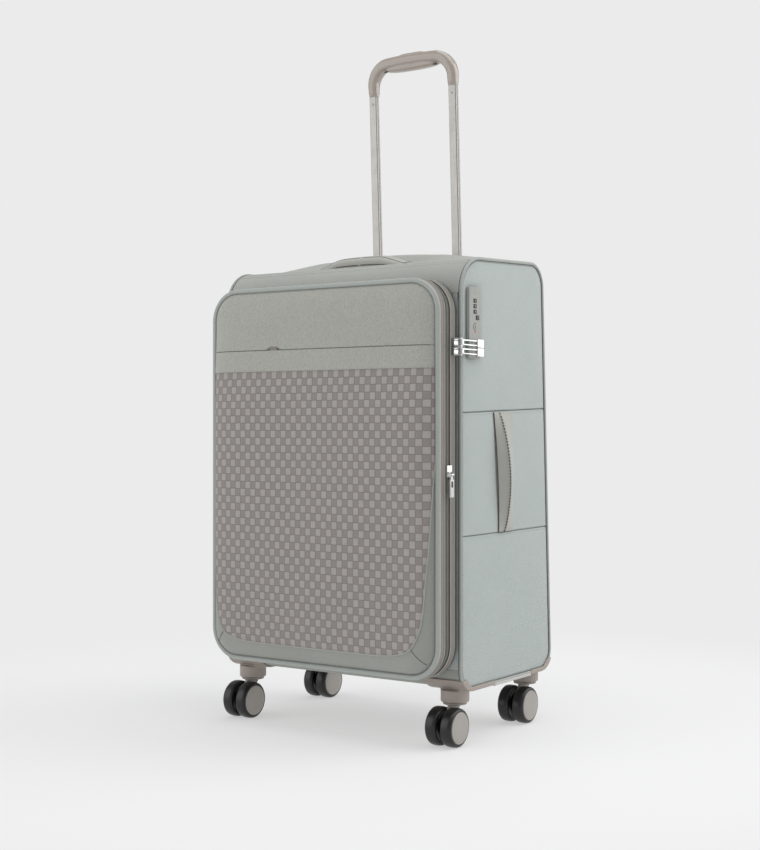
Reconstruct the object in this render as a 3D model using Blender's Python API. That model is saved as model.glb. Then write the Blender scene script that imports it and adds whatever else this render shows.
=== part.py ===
# Softside upright suitcase on four twin-wheel casters, with a telescopic handle.
#
# Metres, +Z up, front of the case towards -Y, lock side towards +X, floor at Z = 0.
# The case is worked out about its own middle plane (X = 0). The last step moves the whole
# case so that the origin is the middle of its footprint on the floor.

import math

import bpy
import bmesh
import numpy as np
from mathutils import Matrix, Vector

# ---------------------------------------------------------------- driving dimensions
GAP = 0.0003                 # air between two pieces that touch on the real case

BODY_WIDTH = 0.406           # over the two side panels
BODY_DEPTH = 0.2556          # front plane to the rear face, measured at the bottom
BODY_HEIGHT = 0.5845         # bottom to the front upper edge
REAR_LEAN = math.radians(2.5)    # the back panel and the handle lean forwards by this
TOP_RISE = 0.010             # the rear upper edge stands this much above the front one
TOP_CROWN = 0.020            # the top panel is domed by this at the middle
FRONT_TOP_RADIUS = 0.050
REAR_TOP_RADIUS = 0.034
BOTTOM_RADIUS = 0.028
WALL = 0.003                 # fabric with its foam and board

LID_SIDE_MARGIN = 0.0065     # the lid is this much narrower than the body on each side
LID_BOTTOM_MARGIN = 0.017
LID_TOP_MARGIN = 0.029
LID_CORNER_RADIUS = 0.046
LID_DEPTH = 0.042            # body front plane to the front of the lid
LID_PANEL = 0.005            # padded front of the lid
LID_PUFF = 0.0150            # the front pocket swells out by this
LID_PUFF_INSET = 0.0280      # and is full this far inside the lid's edge
LID_WALL = 0.0025
MAIN_ZIP_GAP = 0.0023        # the main zip lies in this gap behind the lid
GUSSET_DEPTH = 0.0144        # strip between the main zip and the expansion zip
OPENING_LIP = 0.0125         # the front opening is this much inside the lid's edge
FOLD_WALL = 0.0012           # the expansion cloth folded inside the lid
FOLD_CLEARANCE = 0.0005

CASTER_INSET_X = 0.0256      # swivel axis inside the side panel
CASTER_INSET_FRONT = 0.027
CASTER_INSET_REAR = 0.0321
CASTER_TRAIL = 0.0206        # wheel axle behind the swivel axis
WHEEL_RADIUS = 0.0265
WHEEL_WIDTH = 0.0175
WHEEL_SPACING = 0.0239       # middle to middle of a pair
AXLE_RADIUS = 0.0030
CUP_RADIUS = 0.0197
WHEEL_HEADROOM = 0.0050      # treads to the cup, with the swivel disc between
CUP_BOTTOM = 2 * WHEEL_RADIUS + WHEEL_HEADROOM
CUP_HEIGHT = 0.0185          # cup's lower end to the bottom of the body
GROUND_CLEARANCE = CUP_BOTTOM + CUP_HEIGHT    # floor to the bottom of the body
STEM_RADIUS = 0.0047
FORK_WEB = 0.0046

GUARD_WALL = 0.0026
GUARD_LENGTH_X = 0.064       # along the front or rear edge
GUARD_LENGTH_Y = 0.088       # along the side edge
GUARD_LIP_HEIGHT = 0.0150    # up the front or rear face
GUARD_CHEEK_HEIGHT = 0.0035  # up the side panel

TUBE_SPACING = 0.144         # telescopic tubes, middle to middle
TUBE_BACKSET = 0.0235        # tube middle in front of the rear face
OUTER_TUBE = (0.0170, 0.0124)
INNER_TUBE = (0.0130, 0.0086)
TUBE_WALL = 0.0010
HANDLE_REACH = 0.264         # bare inner tube above the bezel when pulled out
TUBE_OVERLAP = 0.130         # inner tube still inside the outer one when pulled out
GRIP_HEIGHT = 0.0555
GRIP_DEPTH = 0.0230
GRIP_LEG = 0.0215
GRIP_BAR = 0.0190
BEZEL_CUP_DEPTH = 0.047
BUTTON_TRAVEL = 0.004

LOWER_SEAM = 0.2075          # side panel seams above the body's bottom
UPPER_SEAM = 0.3750
SIDE_HANDLE_WIDTH = 0.040
SIDE_HANDLE_BOW = 0.010
TOP_HANDLE_LENGTH = 0.156
TOP_HANDLE_WIDTH = 0.034
TOP_HANDLE_BOW = 0.0030
TOP_HANDLE_SETBACK = 0.082   # handle middle behind the body's front plane
STRAP_THICKNESS = 0.0055

LOCK_HEIGHT = 0.097
LOCK_WIDTH = 0.030
LOCK_PLATE = 0.0050
LOCK_TOP_MARGIN = 0.0405     # lock's top end below the front upper edge
LOCK_SETBACK = 0.0285        # lock's middle behind the body's front plane
LOCK_HOUSING = 0.011         # depth of the housing inside the panel
DIAL_RADIUS = 0.0068
DIAL_WIDTH = 0.0046
DIAL_PITCH = 0.0075
DIAL_PROUD = 0.0008
PAD_RAISE = 0.0010           # receiver pad that the pull tabs rest on

SLIDER_HEIGHT = 0.0114
SLIDER_PITCH = 0.0120
SLIDER_WIDTH = 0.0120
PULL_PIN = 0.0010
PULL_KNUCKLE = 0.0022
EXPANSION_ZIP_WIDTH = 0.0134
EXPANSION_SLIDER_DROP = 0.293    # below the body's front upper edge

# ---------------------------------------------------------------- worked out from them
half_width = BODY_WIDTH / 2
panel_inner_x = half_width - WALL
band_half = panel_inner_x - GAP
front_y = -0.127
bottom_z = GROUND_CLEARANCE
front_top_z = bottom_z + BODY_HEIGHT
rear_bottom_y = front_y + BODY_DEPTH
rear_top_z = front_top_z + TOP_RISE
rear_top_y = rear_bottom_y - (rear_top_z - bottom_z) * math.tan(REAR_LEAN)

lid_half = half_width - LID_SIDE_MARGIN
lid_bottom = bottom_z + LID_BOTTOM_MARGIN
lid_top = front_top_z - LID_TOP_MARGIN
lid_front_y = front_y - LID_DEPTH
gusset_rear_y = front_y - MAIN_ZIP_GAP
gusset_front_y = gusset_rear_y - GUSSET_DEPTH
lid_rim_y = gusset_front_y - GAP

# Corners of the body seen from +X, as (Y, Z), anticlockwise, with their radii.
side_corners = [(front_y, bottom_z), (rear_bottom_y, bottom_z),
                (rear_top_y, rear_top_z), (front_y, front_top_z)]
side_radii = [BOTTOM_RADIUS, BOTTOM_RADIUS, REAR_TOP_RADIUS, FRONT_TOP_RADIUS]

finishes = {
    "side_fabric": ("B4BDBA", 0.85, 0.0),
    "front_fabric": ("A6A69D", 0.85, 0.0),
    "check_fabric": ("A39C96", 0.85, 0.0),
    "lining": ("8C8781", 0.8, 0.0),
    "taupe_plastic": ("978C87", 0.4, 0.0),
    "gloss_plastic": ("8F8683", 0.25, 0.0),
    "light_plastic": ("C9C6C2", 0.45, 0.0),
    "lock_plastic": ("A9A8A0", 0.35, 0.0),
    "dark_plastic": ("2A2A2B", 0.4, 0.0),
    "tyre": ("1D1D1E", 0.55, 0.0),
    "tube_metal": ("B5ADA2", 0.25, 1.0),
    "dark_tube_metal": ("8B857C", 0.4, 1.0),
    "bright_metal": ("D9D9D9", 0.15, 1.0),
    "steel": ("8E8E8E", 0.35, 1.0),
}


# ---------------------------------------------------------------- helpers
def clear_scene():
    for item in list(bpy.data.objects):
        bpy.data.objects.remove(item, do_unlink=True)


def linear(value):
    return value / 12.92 if value <= 0.04045 else ((value + 0.055) / 1.055) ** 2.4


def new_material(name, finish):
    colour, roughness, metallic = finishes[finish]
    rgb = [linear(int(colour[i:i + 2], 16) / 255) for i in (0, 2, 4)]
    material = bpy.data.materials.new(name)
    material.use_nodes = True
    shader = material.node_tree.nodes["Principled BSDF"]
    shader.inputs["Base Color"].default_value = (*rgb, 1)
    shader.inputs["Roughness"].default_value = roughness
    shader.inputs["Metallic"].default_value = metallic
    return material


def new_empty(name, location=(0, 0, 0), rotation_x=0.0, parent=None):
    empty = bpy.data.objects.new(name, None)
    empty.empty_display_size = 0.02
    empty.location = location
    empty.rotation_euler = (rotation_x, 0, 0)
    empty.parent = parent
    bpy.context.scene.collection.objects.link(empty)
    return empty


def flat(face):
    corners = [vert.co for vert in face.verts]
    normal = (corners[1] - corners[0]).cross(corners[2] - corners[0])
    return abs(normal.dot(corners[3] - corners[0])) < 1e-13


def new_object(name, verts, faces, parent=None, location=(0, 0, 0), smooth=False):
    mesh = bpy.data.meshes.new(name)
    mesh.from_pydata([tuple(v) for v in verts], [], faces)
    shape = bmesh.new()
    shape.from_mesh(mesh)
    bent = [face for face in shape.faces if len(face.verts) == 4 and not flat(face)]
    bmesh.ops.triangulate(shape, faces=bent)
    bmesh.ops.recalc_face_normals(shape, faces=shape.faces)
    shape.to_mesh(mesh)
    shape.free()
    if smooth:
        mesh.shade_smooth()
        mesh.set_sharp_from_angle(angle=math.radians(35))
    item = bpy.data.objects.new(name, mesh)
    item.location = location
    item.parent = parent
    bpy.context.scene.collection.objects.link(item)
    return item


def new_piece(name, shape, finish, parent, location=(0, 0, 0), smooth=False):
    piece = new_object(name, *shape, parent=parent, location=location, smooth=smooth)
    piece.data.materials.append(new_material(name, finish))
    return piece


def combine(piece, shape, operation, location=(0, 0, 0)):
    name = f"{piece.name}_tool_{len(piece.modifiers)}"
    tool = new_object(name, *shape, parent=piece.parent, location=location)
    tool.hide_render = True
    tool.display_type = "WIRE"
    modifier = piece.modifiers.new(operation.lower(), "BOOLEAN")
    modifier.operation = operation
    modifier.solver = "EXACT"
    modifier.object = tool


def cut(piece, shape, location=(0, 0, 0)):
    combine(piece, shape, "DIFFERENCE", location)


def join(piece, shape, location=(0, 0, 0)):
    combine(piece, shape, "UNION", location)


# A point of a flat outline (a, b) with height h, laid out so that h runs along the axis.
def place(a, b, h, axis):
    return {"X": (h, a, b), "Y": (a, h, b), "Z": (a, b, h)}[axis]


def prism(outline, low, high, axis):
    count = len(outline)
    verts = [place(a, b, low, axis) for a, b in outline] + [place(a, b, high, axis) for a, b in outline]
    faces = [tuple(range(count)), tuple(range(count, 2 * count))]
    faces += [(i, (i + 1) % count, count + (i + 1) % count, count + i) for i in range(count)]
    return verts, faces


def box(low, high):
    outline = [(low[0], low[1]), (high[0], low[1]), (high[0], high[1]), (low[0], high[1])]
    return prism(outline, low[2], high[2], "Z")


def circle(radius, steps, centre=(0, 0)):
    turns = [2 * math.pi * (i + 0.5) / steps for i in range(steps)]
    return [(centre[0] + radius * math.cos(t), centre[1] + radius * math.sin(t)) for t in turns]


def cylinder(radius, low, high, axis, centre=(0, 0), steps=20):
    return prism(circle(radius, steps, centre), low, high, axis)


# Loops of equal length, each a list of 3-D points, skinned one to the next and last to first.
def skin_ring(loops):
    count = len(loops[0])
    verts = [point for loop in loops for point in loop]
    faces = []
    for k in range(len(loops)):
        after = (k + 1) % len(loops)
        for i in range(count):
            j = (i + 1) % count
            faces.append((k * count + i, k * count + j, after * count + j, after * count + i))
    return verts, faces


# The same, but the first and last loops are closed with a cap.
def skin_capped(loops):
    count = len(loops[0])
    verts, faces = skin_ring(loops)
    faces = faces[:-count]
    faces.append(tuple(range(count)))
    faces.append(tuple(range((len(loops) - 1) * count, len(loops) * count)))
    return verts, faces


# The arc that rounds one corner: tangent to both edges, as (point, outward normal).
def corner_arc(before, corner, after, radius, steps):
    corner = Vector(corner)
    to_before = (Vector(before) - corner).normalized()
    to_after = (Vector(after) - corner).normalized()
    half_angle = to_before.angle(to_after) / 2
    centre = corner + (to_before + to_after).normalized() * radius / math.sin(half_angle)
    start = (corner + to_before * radius / math.tan(half_angle) - centre).normalized()
    end = (corner + to_after * radius / math.tan(half_angle) - centre).normalized()
    sweep = start.angle_signed(end)
    arc = []
    for i in range(steps + 1):
        normal = start.copy()
        normal.rotate(Matrix.Rotation(-sweep * i / steps, 2))
        arc.append((centre + normal * radius, normal))
    return arc


def rounded(corners, radii, steps):
    count = len(corners)
    arcs = [corner_arc(corners[i - 1], corners[i], corners[(i + 1) % count], radii[i], steps)
            for i in range(count)]
    return [tuple(point) for arc in arcs for point, normal in arc]


def rounded_rectangle(half_a, low_b, high_b, radius, steps=6):
    corners = [(-half_a, low_b), (half_a, low_b), (half_a, high_b), (-half_a, high_b)]
    return rounded(corners, [radius] * 4, steps)


def ring_prism(outer, inner, low, high, axis):
    loops = [[place(a, b, h, axis) for a, b in loop] for loop, h in
             ((outer, low), (outer, high), (inner, high), (inner, low))]
    return skin_ring(loops)


# A closed tube of a few sides round a closed flat path in the YZ plane.
def hoop(path, x, radius, sides):
    loops = []
    for k in range(sides):
        turn = 2 * math.pi * k / sides
        loops.append([(x + radius * math.sin(turn), point[0] + normal[0] * radius * math.cos(turn),
                       point[1] + normal[1] * radius * math.cos(turn)) for point, normal in path])
    return skin_ring(loops)


def smoothstep(value):
    value = min(max(value, 0.0), 1.0)
    return value * value * (3 - 2 * value)


# ---------------------------------------------------------------- body outline
def side_arcs(steps):
    arcs = []
    for i in range(4):
        after = side_corners[(i + 1) % 4]
        arcs.append(corner_arc(side_corners[i - 1], side_corners[i], after, side_radii[i], steps))
    return arcs


arc_steps = 6
bottom_front_arc, bottom_rear_arc, top_rear_arc, top_front_arc = side_arcs(arc_steps)
front_split = 4              # steps of the front upper arc that belong to the top panel
top_path = top_rear_arc + top_front_arc[:front_split + 1]
front_path = top_front_arc[front_split:] + bottom_front_arc[:1]
bottom_path = bottom_front_arc + bottom_rear_arc
back_path = [bottom_rear_arc[-1], top_rear_arc[0]]


# Straight stretches of a path get extra points, so that the surface can be domed there.
def refine(path, longest):
    fine = [path[0]]
    for (point, normal), (last_point, last_normal) in zip(path[1:], path[:-1]):
        pieces = max(1, math.ceil((point - last_point).length / longest))
        for k in range(1, pieces + 1):
            share = k / pieces
            fine.append((last_point.lerp(point, share), last_normal.lerp(normal, share).normalized()))
    return fine


def path_lengths(path):
    lengths = [0.0]
    for (point, normal), (last_point, last_normal) in zip(path[1:], path[:-1]):
        lengths.append(lengths[-1] + (point - last_point).length)
    return lengths


# Pulls both ends of a path back along itself, so that neighbours keep their gap.
def shorten(path, amount):
    first = (path[1][0] - path[0][0]).normalized() * amount
    last = (path[-2][0] - path[-1][0]).normalized() * amount
    return [(path[0][0] + first, path[0][1])] + path[1:-1] + [(path[-1][0] + last, path[-1][1])]


top_fine = refine(top_path, 0.025)
top_lengths = path_lengths(top_fine)
crown_reach = 0.090          # the dome fades in over this much of the path at each end


def crown_weight(length):
    return smoothstep(min(length, top_lengths[-1] - length) / crown_reach)


def crown(x, weight):
    return TOP_CROWN * weight * (1 - (x / half_width) ** 2)


# Height of the domed top panel at a place seen from above.
def top_height(x, y):
    ys = [point[0] for point, normal in top_fine][::-1]
    zs = [point[1] for point, normal in top_fine][::-1]
    weights = [crown_weight(length) for length in top_lengths][::-1]
    return float(np.interp(y, ys, zs)) + crown(x, float(np.interp(y, ys, weights)))


# A panel that follows a path of the body and spans its width.
def band(path, outer_offset, inner_offset, stations, weights):
    loops = []
    for x in stations:
        outer = []
        inner = []
        for (point, normal), weight in zip(path, weights):
            lift = crown(x, weight)
            outer.append((x, point[0] + normal[0] * outer_offset, point[1] + normal[1] * outer_offset + lift))
            inner.append((x, point[0] - normal[0] * inner_offset, point[1] - normal[1] * inner_offset + lift))
        loops.append(outer + inner[::-1])
    return skin_capped(loops)


def domed_top(outer_offset, inner_offset, half, count):
    stations = [half * (2 * i / count - 1) for i in range(count + 1)]
    path = shorten(top_fine, GAP / 2)
    return band(path, outer_offset, inner_offset, stations, [crown_weight(length) for length in top_lengths])


def flat_band(path):
    return band(shorten(path, GAP / 2), 0.0, WALL, [-band_half, band_half], [0.0] * len(path))


# ---------------------------------------------------------------- telescopic handle frame
# Local frame of the handle: X across, Y depth, Z along the tubes, origin on the case's
# middle plane, level with the underside of the bezel's rim.
def handle_origin():
    y = rear_top_y - TUBE_BACKSET
    for _ in range(4):
        z = top_height(0, y)
        y = rear_bottom_y - (z - bottom_z) * math.tan(REAR_LEAN) - TUBE_BACKSET / math.cos(REAR_LEAN)
    return y, z


handle_y, handle_z = handle_origin()
bezel_top = 0.0025           # rim above the dome
leg_bottom = bezel_top + HANDLE_REACH
handle_travel = HANDLE_REACH + BEZEL_CUP_DEPTH - 0.003
tube_foot = -(handle_z - bottom_z - WALL - 0.016) / math.cos(REAR_LEAN)
cup_half_x = TUBE_SPACING / 2 + GRIP_LEG / 2 + 0.0060
cup_half_y = GRIP_DEPTH / 2 + 0.0040
cup_wall = 0.0020


def rectangle(width, depth, x=0.0):
    left = x - width / 2
    right = x + width / 2
    return [(left, -depth / 2), (right, -depth / 2), (right, depth / 2), (left, depth / 2)]


# ---------------------------------------------------------------- case shell
def build_side_panels(root):
    outline = rounded(side_corners, side_radii, arc_steps)
    for name, sign in (("right_side_panel", 1), ("left_side_panel", -1)):
        low, high = sorted((sign * panel_inner_x, sign * half_width))
        panel = new_piece(name, prism(outline, low, high, "X"), "side_fabric", root)
        if sign > 0:
            y, z = lock_centre()
            half_y = LOCK_WIDTH / 2 - 0.003
            half_z = LOCK_HEIGHT / 2 - 0.004
            cut(panel, box((0.15, y - half_y, z - half_z), (0.25, y + half_y, z + half_z)))


def build_band(root):
    top = new_piece("top_panel", domed_top(0.0, WALL, band_half, 12), "side_fabric", root, smooth=True)
    low = (-cup_half_x - GAP, -cup_half_y - GAP, -BEZEL_CUP_DEPTH - 0.02)
    high = (cup_half_x + GAP, cup_half_y + GAP, 0.02)
    cut(top, tilted(box(low, high)))
    new_piece("back_panel", flat_band(back_path), "side_fabric", root)
    new_piece("bottom_tray", flat_band(bottom_path), "taupe_plastic", root, smooth=True)
    frame = new_piece("front_frame", flat_band(front_path), "side_fabric", root, smooth=True)
    opening = rounded_rectangle(lid_half - OPENING_LIP, lid_bottom + OPENING_LIP + 0.012,
                                lid_top - OPENING_LIP, LID_CORNER_RADIUS - OPENING_LIP)
    cut(frame, prism(opening, front_y - 0.05, front_y + 0.05, "Y"))


# Turns a shape given in the handle's local frame into case coordinates.
def tilted(shape):
    verts, faces = shape
    turn = Matrix.Translation((0, handle_y, handle_z)) @ Matrix.Rotation(REAR_LEAN, 4, "X")
    return [tuple(turn @ Vector(v)) for v in verts], faces


def build_wire_hoops(root):
    radius = 0.0015
    inset = WALL + GAP + radius
    path = [(point - normal * inset, normal) for arc in side_arcs(arc_steps) for point, normal in arc]
    x = panel_inner_x - GAP - radius
    new_piece("right_wire_hoop", hoop(path, x, radius, 6), "steel", root, smooth=True)
    new_piece("left_wire_hoop", hoop(path, -x, radius, 6), "steel", root, smooth=True)


# The part of a rising path, given top end first, that lies under a height.
def below(path, height):
    kept = [(point, normal) for point, normal in path if point[1] < height]
    point, normal = path[len(path) - len(kept) - 1]
    share = (height - kept[0][0][1]) / (point[1] - kept[0][0][1])
    return [(kept[0][0].lerp(point, share), kept[0][1].lerp(normal, share).normalized())] + kept


# Bumper round one bottom corner, with the cup that holds the caster's swivel.
def build_guard(name, side, arc, outward, root):
    low_z = bottom_z - GAP
    if outward < 0:
        corner_y = front_y
        end_y = front_y + GUARD_LENGTH_Y
        swivel_y = front_y + CASTER_INSET_FRONT
        path = arc
    else:
        corner_y = rear_bottom_y
        end_y = rear_bottom_y - GUARD_LENGTH_Y * 0.72
        swivel_y = rear_bottom_y - CASTER_INSET_REAR
        path = arc[::-1]
    # The path runs from the lip on the front or rear face round under the body.
    path = below(path, bottom_z + GUARD_LIP_HEIGHT)
    inner = [tuple(p + n * GAP) for p, n in path] + [(end_y, low_z)]
    outer = [tuple(p + n * (GAP + GUARD_WALL)) for p, n in path] + [(end_y, low_z - GUARD_WALL)]
    near = half_width + GAP + GUARD_WALL
    far = near - GUARD_LENGTH_X
    low, high = sorted((side * near, side * far))
    guard = new_piece(name, prism(outer + inner[::-1], low, high, "X"), "taupe_plastic", root, smooth=True)
    # The cheek lies just inside the strip's outer faces, so that the two merge cleanly.
    skin = 0.0002
    buried = GAP + GUARD_WALL - skin
    cheek = [(end_y + outward * skin, low_z + GAP - buried)] + [tuple(p + n * buried) for p, n in path[:0:-1]]
    cheek += [tuple(path[0][0] + path[0][1] * buried - Vector((0, skin)))]
    cheek += [(corner_y - outward * 0.012, bottom_z + GUARD_LIP_HEIGHT - skin)]
    cheek += [(corner_y - outward * 0.026, bottom_z + GUARD_CHEEK_HEIGHT)]
    cheek += [(end_y + outward * skin, bottom_z + GUARD_CHEEK_HEIGHT)]
    low, high = sorted((side * (near - GUARD_WALL), side * (near - skin)))
    join(guard, prism(cheek, low, high, "X"))
    centre = (side * (half_width - CASTER_INSET_X), swivel_y)
    cup_top = low_z - GUARD_WALL / 2
    join(guard, cylinder(CUP_RADIUS, CUP_BOTTOM, cup_top, "Z", centre, 28))
    cut(guard, cylinder(STEM_RADIUS + 0.0004, CUP_BOTTOM - 0.01, cup_top - 0.0060, "Z", centre))
    return centre


def build_guards(root):
    swivels = {}
    front_arc = list(bottom_front_arc)
    rear_arc = list(bottom_rear_arc)
    for label, side in (("right", 1), ("left", -1)):
        swivels[f"front_{label}"] = build_guard(f"front_{label}_guard", side, front_arc, -1, root)
        swivels[f"rear_{label}"] = build_guard(f"rear_{label}_guard", side, rear_arc, 1, root)
    # Light strips under the side edges, between the front and rear guards.
    start = front_y + GUARD_LENGTH_Y + GAP
    end = rear_bottom_y - GUARD_LENGTH_Y * 0.72 - GAP
    for label, side in (("right", 1), ("left", -1)):
        low, high = sorted((side * (half_width - 0.014), side * (half_width + 0.0022)))
        strip = box((low, start, bottom_z - GAP - 0.0042), (high, end, bottom_z - GAP))
        new_piece(f"{label}_base_skid", strip, "light_plastic", root)
    return swivels


# ---------------------------------------------------------------- casters
def build_caster(name, centre, root):
    swivel = new_empty(f"{name}_swivel", (*centre, CUP_BOTTOM), parent=root)
    down = -CUP_BOTTOM
    disc_high = -0.0004
    disc_low = disc_high - 0.0031
    disc = cylinder(0.0165, disc_low, disc_high, "Z", steps=24)
    fork = new_piece(f"{name}_fork", disc, "taupe_plastic", swivel, smooth=True)
    join(fork, cylinder(STEM_RADIUS, disc_low + 0.001, 0.0080, "Z"))
    axle_y = -CASTER_TRAIL
    axle_z = down + WHEEL_RADIUS
    boss = 0.0068
    outline = [(-0.0150, disc_low + 0.001), (axle_y - boss, axle_z)]
    outline += [(axle_y + boss * math.cos(t), axle_z + boss * math.sin(t)) for t in
                (math.radians(a) for a in range(210, 350, 30))]
    outline += [(0.0100, disc_low - 0.004), (0.0120, disc_low + 0.001)]
    join(fork, prism(outline, -FORK_WEB / 2, FORK_WEB / 2, "X"))
    # The axle is pressed into the fork for good, so the two are one piece.
    axle_half = WHEEL_SPACING / 2 + WHEEL_WIDTH / 2 - 0.003
    join(fork, cylinder(AXLE_RADIUS, -axle_half, axle_half, "X", (axle_y, axle_z), 16))
    for label, side in (("outer", 1), ("inner", -1)):
        x = side * WHEEL_SPACING / 2 * (1 if centre[0] > 0 else -1)
        build_wheel(f"{name}_{label}_wheel", swivel, (x, axle_y, axle_z), 1 if x > 0 else -1)


# A turned wheel: rounded tread, open bore on the fork side, closed hub cap outside.
# Its flats, not its corners, lie on the wheel's radius, so it stands level on one of them.
def build_wheel(name, parent, location, outward):
    steps = 28
    grow = 1 / math.cos(math.pi / steps)
    half = WHEEL_WIDTH / 2
    soft = 0.0022
    bore = AXLE_RADIUS + GAP
    profile = [(-half, bore), (-half, WHEEL_RADIUS - soft), (-half + soft, WHEEL_RADIUS),
               (half - soft, WHEEL_RADIUS), (half, WHEEL_RADIUS - soft)]
    bore_end = half - 0.0025
    loops = [[(outward * x, a, b) for a, b in circle(r * grow, steps)] for x, r in [(bore_end, bore)] + profile]
    new_piece(name, skin_capped(loops), "tyre", parent, location, smooth=True)


# ---------------------------------------------------------------- telescopic handle
def build_handle_mount(root):
    frame = new_empty("handle_frame", (0, handle_y, handle_z), REAR_LEAN, root)
    for name, x in (("right_outer_tube", TUBE_SPACING / 2), ("left_outer_tube", -TUBE_SPACING / 2)):
        outer = rectangle(*OUTER_TUBE, x)
        inner = rectangle(OUTER_TUBE[0] - 2 * TUBE_WALL, OUTER_TUBE[1] - 2 * TUBE_WALL, x)
        high = -BEZEL_CUP_DEPTH - GAP
        tube = new_piece(name, ring_prism(outer, inner, tube_foot, high, "Z"), "dark_tube_metal", frame)
        for stop in (0.0, -handle_travel):
            side = 1 if x > 0 else -1
            low, high_x = sorted((x + side * 0.004, x + side * 0.02))
            cut(tube, cylinder(0.0030, low, high_x, "X", (0, pin_height() + stop), 12))
    foot = box((-TUBE_SPACING / 2 - 0.0105, -0.0078, tube_foot - GAP - 0.007),
               (TUBE_SPACING / 2 + 0.0105, 0.0078, tube_foot - GAP))
    new_piece("tube_foot_bracket", foot, "dark_plastic", frame)
    build_tube_cover(frame)
    build_bezel(frame)
    return frame


def build_tube_cover(frame):
    half = TUBE_SPACING / 2 + 0.0140
    front = -OUTER_TUBE[1] / 2 - 0.0045
    rear = TUBE_BACKSET - WALL - GAP
    wall = 0.0015
    outline = [(-half, rear), (-half, front), (half, front), (half, rear), (half - wall, rear),
               (half - wall, front + wall), (-half + wall, front + wall), (-half + wall, rear)]
    # It stops above the rounded rear lower edge of the body.
    low = tube_foot + BOTTOM_RADIUS - 0.008
    new_piece("tube_cover", prism(outline, low, -BEZEL_CUP_DEPTH - cup_wall - 0.004, "Z"), "lining", frame)
    middle = (low - BEZEL_CUP_DEPTH) / 2
    strap_y = front - GAP
    strap_end = half + 0.030
    strap = box((-strap_end, strap_y - 0.0016, middle - 0.0125), (strap_end, strap_y, middle + 0.0125))
    packing_strap = new_piece("packing_strap", strap, "dark_plastic", frame)
    join(packing_strap, box((-0.0215, strap_y - 0.0090, middle - 0.0170),
                            (0.0215, strap_y - 0.0004, middle + 0.0170)))


def build_bezel(frame):
    rim_half_x = cup_half_x + 0.0060
    rim_half_y = cup_half_y + 0.0040
    rim = box((-rim_half_x, -rim_half_y, -0.012), (rim_half_x, rim_half_y, bezel_top))
    bezel = new_piece("handle_bezel", rim, "gloss_plastic", frame)
    dome, faces = domed_top(GAP, 0.022, band_half, 12)
    back = (Matrix.Translation((0, handle_y, handle_z)) @ Matrix.Rotation(REAR_LEAN, 4, "X")).inverted()
    cut(bezel, ([tuple(back @ Vector(v)) for v in dome], faces))
    join(bezel, box((-cup_half_x, -cup_half_y, -BEZEL_CUP_DEPTH), (cup_half_x, cup_half_y, bezel_top - 0.0004)))
    inner_x = cup_half_x - cup_wall
    inner_y = cup_half_y - cup_wall
    cut(bezel, box((-inner_x, -inner_y, -BEZEL_CUP_DEPTH + cup_wall), (inner_x, inner_y, 0.03)))
    for x in (TUBE_SPACING / 2, -TUBE_SPACING / 2):
        hole = rectangle(INNER_TUBE[0] + 0.0010, INNER_TUBE[1] + 0.0010, x)
        cut(bezel, prism(hole, -BEZEL_CUP_DEPTH - 0.01, -BEZEL_CUP_DEPTH + 0.01, "Z"))


def pin_height():
    return -BEZEL_CUP_DEPTH - TUBE_OVERLAP + 0.008


def build_handle(frame):
    carriage = new_empty("handle_carriage", parent=frame)
    tube_low = -BEZEL_CUP_DEPTH - TUBE_OVERLAP
    socket_top = leg_bottom + 0.022
    for label, side in (("right", 1), ("left", -1)):
        x = side * TUBE_SPACING / 2
        outer = rectangle(*INNER_TUBE, x)
        inner = rectangle(INNER_TUBE[0] - 2 * TUBE_WALL, INNER_TUBE[1] - 2 * TUBE_WALL, x)
        shape = ring_prism(outer, inner, tube_low, socket_top, "Z")
        tube = new_piece(f"{label}_inner_tube", shape, "tube_metal", carriage)
        low, high = sorted((x, x + side * 0.02))
        cut(tube, cylinder(0.0028, low, high, "X", (0, pin_height()), 12))
        # The locking pin stops just short of the outer tube's wall.
        low, high = sorted((side * -0.0018, side * (INNER_TUBE[0] / 2 + 0.0006)))
        pin = new_empty(f"{label}_pin_axis", (x, 0, pin_height()), parent=carriage)
        new_piece(f"{label}_lock_pin", cylinder(0.0024, low, high, "X", steps=12), "steel", pin, smooth=True)
    build_grip(carriage)
    for label, side in (("right", 1), ("left", -1)):
        rod = cylinder(0.0014, pin_height() + 0.0075, socket_top - 0.004, "Z", (side * TUBE_SPACING / 2, 0), 8)
        new_piece(f"{label}_release_rod", rod, "steel", carriage, smooth=True)


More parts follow.
